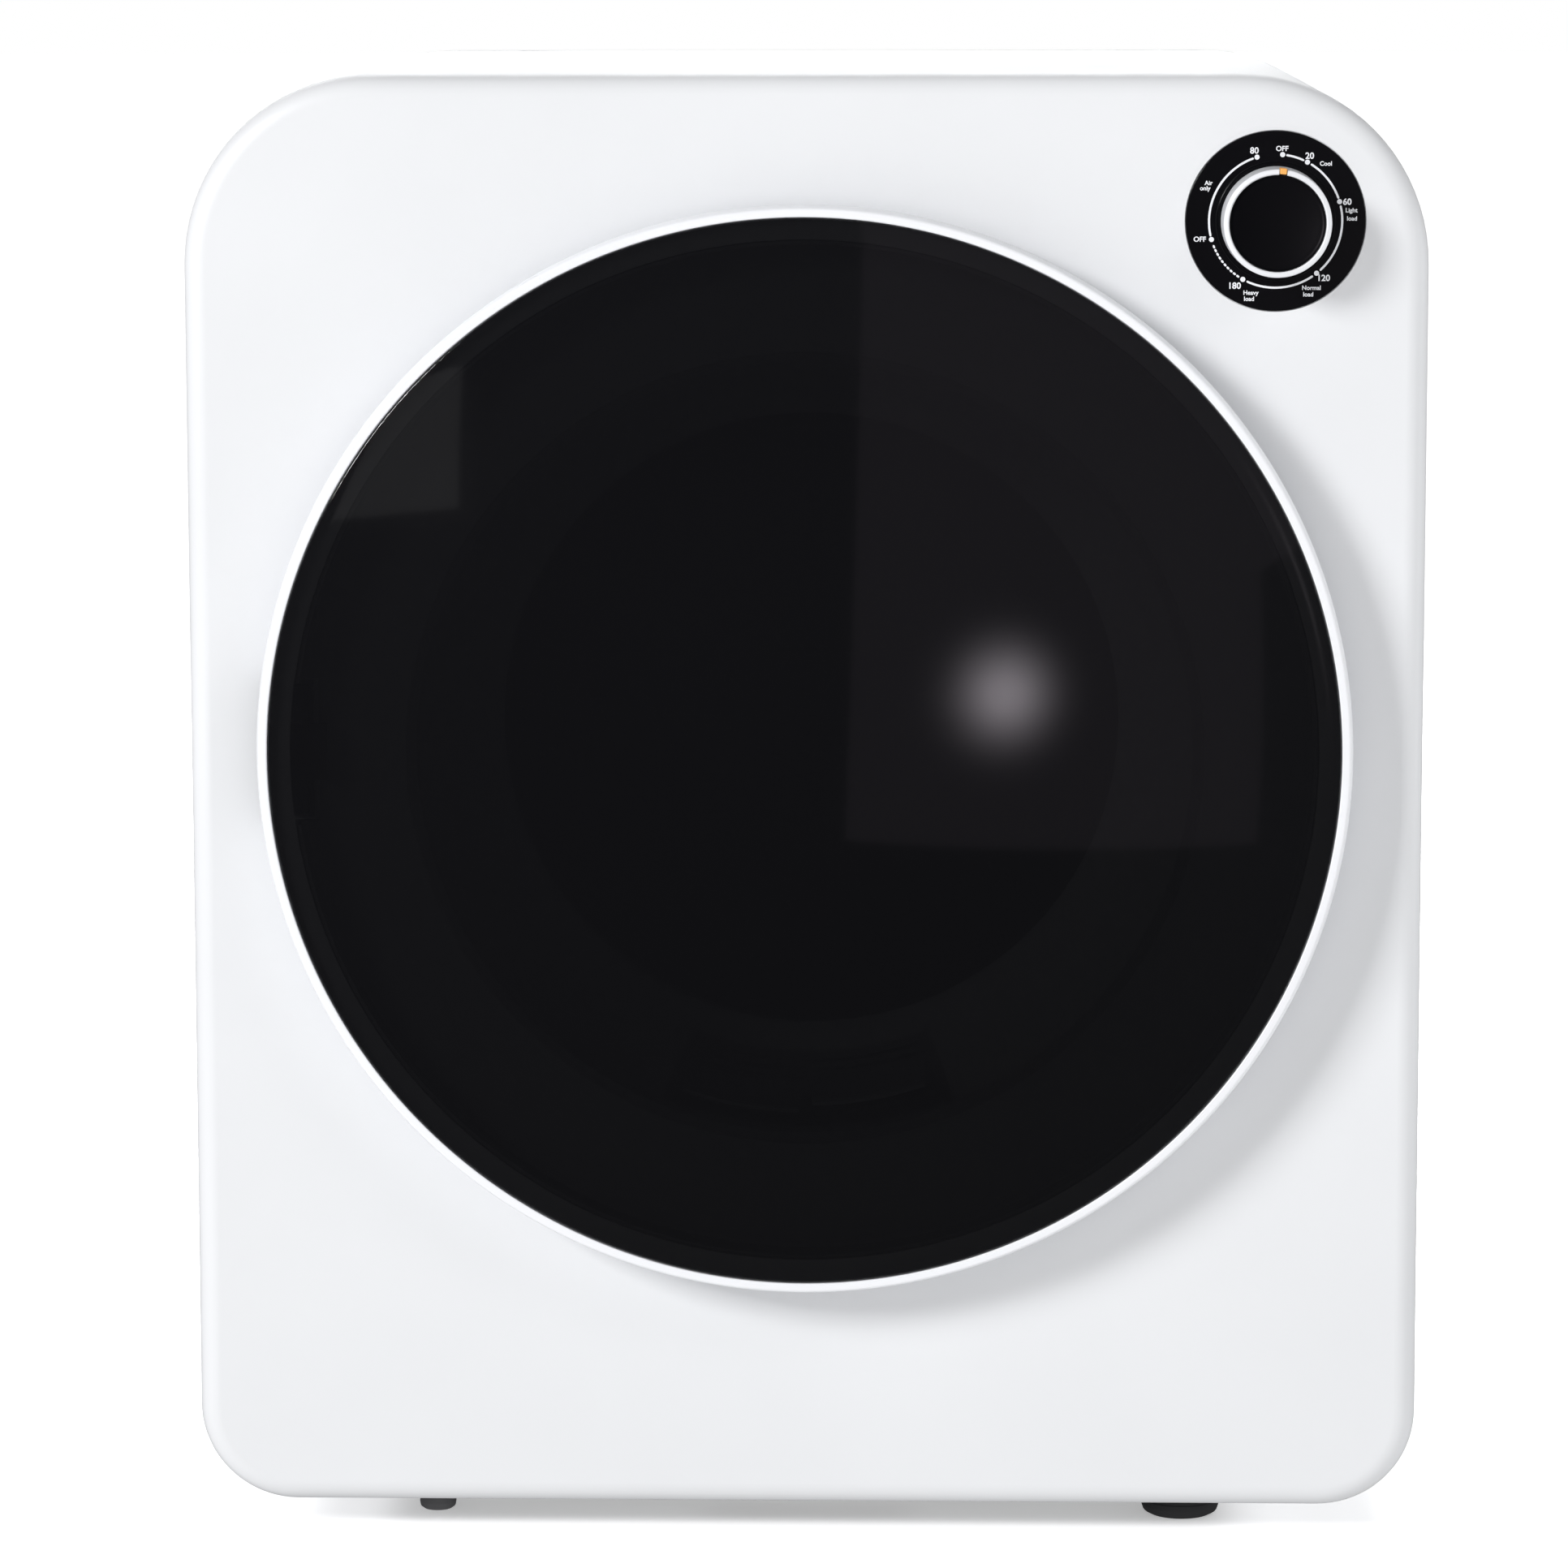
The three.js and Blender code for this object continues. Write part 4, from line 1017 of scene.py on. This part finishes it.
def mouth_funnel():
    outer = 194
    rear = THROAT_DEPTH + 4
    hidden = [(r + 1.6, d + 0.6) for r, d in FUNNEL[:-1]][::-1]
    profile = [*FUNNEL, (outer, rear), (outer, rear - 1.6), (THROAT_RADIUS + 1.6, rear - 1.6), *hidden[1:]]
    thing = turned("mouth_funnel_moulding", profile, 192)
    window = prism(lifted(whole_sector(GRILLE_INNER - 0.4, GRILLE_OUTER + 0.4, -0.4)), 20, THROAT_DEPTH - 2)
    carve(thing, [window])
    finish_piece(thing, "white_steel", replaces=["mouth_funnel"])


def heater_grille():
    radii = [GRILLE_OUTER - (GRILLE_OUTER - GRILLE_INNER) * i / 12 for i in range(13)]
    top = [(r, funnel_depth(r) - 0.8) for r in radii]
    under = [(r, funnel_depth(r) + 3.2) for r in radii][::-1]
    thing = turned("heater_grille_moulding", [*top, *under], 256)
    carve(thing, [prism(lifted(whole_sector(GRILLE_INNER, GRILLE_OUTER, 0)), 20, 120)], "INTERSECT")
    slots = []
    for row in range(GRILLE_ROWS):
        radius = GRILLE_INNER + 3.2 + GRILLE_PITCH * row
        right = sector_outline(radius - 0.9, radius + 0.9, 7, 3)
        slots += [prism(lifted(right), 10, 130), prism(lifted(mirrored(right)), 10, 130)]
    carve(thing, slots)
    finish_piece(thing, "grey_plastic", replaces=["heater_grille"])


# ---- Drum ----

def drum_shell():
    radius = radius_of("drum_shell")
    front, rear = depth_of("drum_shell")
    face = front + 16
    neck = 200.4
    beads = []
    for middle_depth in (195, 320):
        beads += [(radius, middle_depth - 7, 4), (radius - 2.2, middle_depth - 3, 3),
                  (radius - 2.2, middle_depth + 3, 3), (radius, middle_depth + 7, 4)]
    outside = rounded([
        (neck + 0.8, front), (neck + 0.8, face, 3), (254, face, 6), (262, face + 3, 6),
        (radius, face + 10, 10), *beads, (radius, rear),
    ], closed=False)
    inside = [(r - 0.8, d if i in (0, len(outside) - 1) else d + 0.5) for i, (r, d) in enumerate(outside)]
    thing = turned("drum_shell_sheet", [*outside, *inside[::-1]], 192)
    finish_piece(thing, "stainless", "drum", ["drum_shell"])


def drum_back():
    rim = radius_of("drum_back")
    front, rear = depth_of("drum_back")
    profile = rounded([
        (0, rear - 2), (60, rear - 2), (98, rear - 2, 6), (110, rear - 2, 2),
        (rim - 8, rear - 2, 4), (rim - 1, front, 0.5), (rim, front), (rim, front + 2),
        (rim - 7, rear, 5), (0, rear),
    ])
    thing = turned("drum_back_sheet", profile, 160)
    air = []
    for ring, (radius, count) in enumerate([(126, 40), (138, 40), (150, 40), (162, 40)]):
        for i in range(count):
            angle = TAU * (i + 0.5 * (ring % 2)) / count
            air.append(rod(2.4, 390, 400, radius * math.cos(angle), AXIS + radius * math.sin(angle), 12))
    for i in range(8):
        angle = TAU * i / 8
        air.append(rod(16, 380, 400, 64 * math.cos(angle), AXIS + 64 * math.sin(angle), 40))
    carve(thing, air)
    finish_piece(thing, "stainless", "drum", ["drum_back"])


def lint_filter():
    rim = radius_of("lint_filter")
    front, rear = depth_of("lint_filter")
    disc = rounded([
        (0, rear - 7.7), (18, rear - 7.7, 3), (24, rear - 4.7, 3), (rim - 6, rear - 3.7, 2),
        (rim, rear - 0.9, 0.4), (rim, rear), (0, rear),
    ])
    thing = turned("lint_filter_cover", disc, 128)
    count, gap = 6, 0.09
    carve(thing, [
        arc_bar(radius, 2.6, i * TAU / count + gap, (i + 1) * TAU / count - gap, rear - 6, rear - 1.5)
        for radius in (36, 44, 52, 60, 68, 76, 84) for i in range(count)
    ])
    handle = to_object("lint_filter_grip", brick(-26, 26, front, rear - 6, AXIS - 3, AXIS + 3))
    soften(handle, 1.4)
    finish_piece(handle, "grey_plastic", "filter")
    finish_piece(thing, "grey_plastic", "filter", ["lint_filter"])


def arc_bar(radius, width, start, end, front, rear, x=0.0, z=None, steps=12):
    """Curved bar with round ends between two angles."""
    z = AXIS if z is None else z
    outline = []
    for i in range(steps + 1):
        a = start + (end - start) * i / steps
        outline.append(((radius + width / 2) * math.cos(a), (radius + width / 2) * math.sin(a)))
    outline += cap(radius, width / 2, end, 1)
    for i in range(steps + 1):
        a = end + (start - end) * i / steps
        outline.append(((radius - width / 2) * math.cos(a), (radius - width / 2) * math.sin(a)))
    outline += cap(radius, width / 2, start, -1)
    return prism([(x + a, z + b) for a, b in outline], front, rear)


def cap(radius, half, angle, sign, steps=5):
    """Points inside a round end of a curved bar."""
    centre = Vector((radius * math.cos(angle), radius * math.sin(angle)))
    points = []
    for i in range(1, steps):
        turn = (0 if sign > 0 else math.pi) + math.pi * i / steps
        points.append(tuple(centre + half * Vector((math.cos(angle + turn), math.sin(angle + turn)))))
    return points


def lifters():
    front, rear = depth_of("lifter_1")
    half = [(26, -261, 1.5), (21, -252, 8), (11, -232, 12), (4.5, -227, 4.5)]
    outline = rounded(half + [(-x, z, r) for x, z, r in half[::-1]])
    for number in (1, 2, 3):
        shape = prism(outline, front, rear)
        thing = to_object(f"lifter_{number}_moulding", shape)
        soften(thing, 3, 4, 60)
        turn = Matrix.Translation((0, 0, AXIS * MM)) @ Matrix.Rotation(TAU * (number - 1) / 3, 4, "Y")
        thing.data.transform(turn)
        finish_piece(thing, "grey_plastic", "drum", [f"lifter_{number}"])


# ---- Dial and knob ----

def timer_dial():
    r = DIAL_RADIUS
    profile = rounded([
        (6, 0.9), (6, -0.6, 0.1), (27.6, -0.6, 0.1), (27.9, -0.45, 0.1), (28.2, -0.6, 0.1),
        (r, -0.6, 0.45), (r, 0.9, 0.1),
    ])
    thing = to_object("dial_disc", lathe(profile, DIAL.x, DIAL.z, 192))
    finish_piece(thing, "dial_black", replaces=["timer_dial"])


SCALE_RADIUS = 31.3
DOT_RADIUS = 1.2
NOTCH_HALF = 1.9
TAB_HALF = 1.6
PRINT_FRONT = -0.66
PRINT_REAR = -0.55


def clock(angle, radius):
    """Point (x, z) at an angle in degrees clockwise from the top of the dial."""
    a = math.radians(angle)
    return DIAL.x + radius * math.sin(a), DIAL.z + radius * math.cos(a)


def scale_arc(start, end, width=1.0):
    a, b = math.radians(90 - end), math.radians(90 - start)
    return arc_bar(SCALE_RADIUS, width, a, b, PRINT_FRONT, PRINT_REAR, DIAL.x, DIAL.z, 24)


def lettering(words, angle, radius, height):
    """Flat letters standing upright, centred on a point of the dial."""
    data = bpy.data.curves.new("letters", "FONT")
    data.body = words
    data.size = height * 1.4 * MM
    data.align_x = "CENTER"
    data.align_y = "CENTER"
    data.offset = 0.035 * height * MM
    data.extrude = (PRINT_REAR - PRINT_FRONT) / 2 * MM
    data.resolution_u = 4
    made = bpy.data.objects.new("letters", data)
    bpy.context.collection.objects.link(made)
    graph = bpy.context.evaluated_depsgraph_get()
    mesh = bpy.data.meshes.new_from_object(made.evaluated_get(graph))
    x, z = clock(angle, radius)
    depth = FACE + (PRINT_FRONT + PRINT_REAR) / 2
    mesh.transform(Matrix.Translation(Vector((x, depth, z)) * MM) @ Matrix.Rotation(math.pi / 2, 4, "X"))
    bpy.data.objects.remove(made)
    return mesh


def dial_print():
    shape = Shape()
    for angle in (5.5, 28, 73, 141.5, 209, 254, 343.3):
        x, z = clock(angle, SCALE_RADIUS)
        shape.merge(rod(DOT_RADIUS, PRINT_FRONT, PRINT_REAR, x, z, 24))
    for start, end in ((9.5, 24), (32.2, 69.5), (77.3, 137), (146.3, 204.5), (257.6, 339.5)):
        shape.merge(scale_arc(start, end))
    for i in range(10):
        start = 213.5 + 3.7 * i
        shape.merge(scale_arc(start, start + 1.2))
    thing = to_object("dial_print", shape)
    words = [
        ("OFF", 4.7, 34.0, 2.4), ("20", 27.3, 34.3, 2.95), ("Cool", 41, 35.6, 2.05),
        ("60", 75.1, 34.7, 2.95), ("Light", 82, 35.9, 2.05), ("load", 88.2, 35.9, 2.05),
        ("120", 139.7, 35.2, 2.95), ("Normal", 151.4, 35.8, 2.05), ("load", 155.6, 37.9, 2.05),
        ("180", 212.1, 36.0, 2.95), ("Heavy", 198.6, 35.6, 2.05), ("load", 198.4, 38.6, 2.05),
        ("OFF", 256.4, 36.6, 2.4), ("Air", 299.4, 36.3, 2.05), ("only", 294.8, 36.6, 2.05),
        ("80", 342.7, 34.5, 2.95),
    ]
    joined(thing, [lettering(*word) for word in words])
    finish_piece(thing, "print")


def flute(radius, depth, angle):
    """Knob radius with twelve shallow flutes down its side."""
    if radius < KNOB_FACE_RADIUS + 1.5 or depth > -3:
        return radius
    turn = (angle - POINTER_TURN) / TAU * 12
    off = abs(turn - round(turn)) / 12 * TAU * radius
    fade = min(1, max(0, (depth + KNOB_PROUD - 1) / 3))
    return radius - 0.55 * fade * max(0, 1 - (off / 1.7) ** 2)


def pointer_turn():
    """From the dial's axis upwards to where the pointer stands."""
    return Matrix.Translation((DIAL.x, 0, DIAL.z)) @ Matrix.Rotation(POINTER_TURN, 4, "Y")


def timer_knob():
    face, base = KNOB_FACE_RADIUS, KNOB_RADIUS
    top = -KNOB_PROUD
    profile = rounded([
        (0, -20.5), (face + 0.3, -20.5, 0.1), (face + 0.3, top + 0.5, 0.2), (face + 0.9, top, 0.3),
        (face + 2.9, top + 0.6, 0.9), (base, -1.2, 0.3), (base - 2.5, -1.2, 0.1), (face - 1, -18, 0.1),
        (3.2, -18, 0.2), (3.2, 20, 0.3), (0, 20),
    ])
    thing = to_object("knob_body", lathe(profile, DIAL.x, DIAL.z, 240, flute))
    notch = brick(-NOTCH_HALF, NOTCH_HALF, -30, -15, face - 1, 40)
    carve(thing, [notch.moved(pointer_turn())])
    finish_piece(thing, "silver", "knob", ["timer_knob"])


def knob_face():
    r = KNOB_FACE_RADIUS
    front = -24
    dish = [(r * i / 12, front + 0.35 * (i / 12) ** 2) for i in range(12)]
    profile = dish + rounded([(r - 0.9, front + 0.3), (r, front + 0.5, 0.4), (r, -20.8, 0.1), (0, -20.8)],
                             closed=False)
    thing = to_object("knob_cap", lathe(profile, DIAL.x, DIAL.z, 160))
    finish_piece(thing, "dial_black", "knob", ["knob_face"])


def knob_pointer():
    low = KNOB_FACE_RADIUS + 0.6
    shape = brick(-TAB_HALF, TAB_HALF, -KNOB_PROUD - 0.2, -15.4, low, KNOB_RADIUS)
    thing = to_object("knob_tab", shape.moved(pointer_turn()))
    soften(thing, 0.45, 4)
    finish_piece(thing, "orange", "knob", ["knob_pointer"])


# ---- Feet, spigot, gland ----

def rubber_feet():
    for name in ("foot_front_right", "foot_rear_left", "foot_rear_right"):
        place = middle(name)
        profile = rounded([
            (0, 1), (11, 1, 0.6), (12, 0, 0.6), (15, 0, 1), (18, 1.6, 2), (19, 4.5, 2), (18.7, 7, 0.5),
            (18.2, 7.3, 0.2), (18.2, 7.9, 0.2), (18.7, 8.2, 0.5), (18.4, 13.7, 0.8), (5, 13.7, 0.2),
            (5, 16, 0.3), (7.5, 16, 0.3), (6, 20, 1), (0, 20),
        ])
        thing = to_object(name + "_moulding", upright_lathe(profile, place.x, place.y))
        finish_piece(thing, "rubber", replaces=[name])


def levelling_foot():
    place = middle("foot_front_left")
    profile = [(0, 0), *rounded([(7, 0, 0.8), (8.6, 1.2, 0.8), (9, 3.5, 0.6), (8.7, 9.6, 0.4), (4, 9.6, 0.2)],
                                closed=False)]
    pitch = 1.25
    height = 10.2
    while height < 29:
        profile += [(3.5, height), (3.5, height + 0.15), (4, height + 0.55), (4, height + 0.7)]
        height += pitch
    profile += [(3.4, 30), (0, 30)]
    thing = to_object("levelling_foot_screw", upright_lathe(profile, place.x, place.y, 48))
    finish_piece(thing, "foot_grey", "levelling_foot", ["foot_front_left"], angle=25)


def exhaust_spigot():
    r = 50
    front, rear = depth_of("exhaust_spigot")
    profile = rounded([
        (r - 2, front, 0.3), (r + 8, front, 0.3), (r + 8, front + 2, 0.5), (r, front + 2, 1),
        (r, rear - 9, 0.3), (r, rear - 8.9), (r, rear - 3, 0.5), (r - 0.8, rear, 0.5),
        (r - 2, rear, 0.5),
    ])
    thing = to_object("exhaust_tube", lathe(profile, SPIGOT.x, SPIGOT.z, 128))
    finish_piece(thing, "grey_plastic", replaces=["exhaust_spigot"])


def cord_gland():
    profile = rounded([
        (5, 480, 0.4), (8.5, 480, 0.6), (8.5, 492.3, 0.2), (13, 492.3, 0.3), (13, 496, 0.8),
        (9.5, 497, 0.6), (8, 506, 0.8), (5, 506, 0.5),
    ])
    thing = to_object("gland_moulding", lathe(profile, GLAND.x, GLAND.z, 64))
    finish_piece(thing, "black_plastic", replaces=["cord_gland"])


# ---- Carried-over CAD nodes ----

def finish_carried():
    slots = {part["node"]: part["material_slot"] for part in frame["record"]["subparts"]}
    for name, thing in frame["nodes"].items():
        if thing.hide_render:
            continue
        look = LOOKS[slots[name]]
        if not thing.data.materials:
            thing.data.materials.append(look)
        for slot in thing.material_slots:
            slot.material = look
        edges = thing.modifiers.new("edges", "BEVEL")
        edges.width = 0.25 * MM
        edges.segments = 2
        edges.limit_method = "ANGLE"
        edges.angle_limit = math.radians(40)


# ---- Making ----

add_camera()
add_world()
add_studio()
add_floor()
for make in (
    front_panel, cabinet_wrap, rear_cover, louvre_hoods, rear_screws,
    door_ring, door_lens, door_liner, door_window, door_seal, liner_screws,
    mouth_funnel, heater_grille, drum_shell, drum_back, lint_filter, lifters,
    timer_dial, dial_print, timer_knob, knob_face, knob_pointer,
    rubber_feet, levelling_foot, exhaust_spigot, cord_gland,
):
    make()
finish_carried()
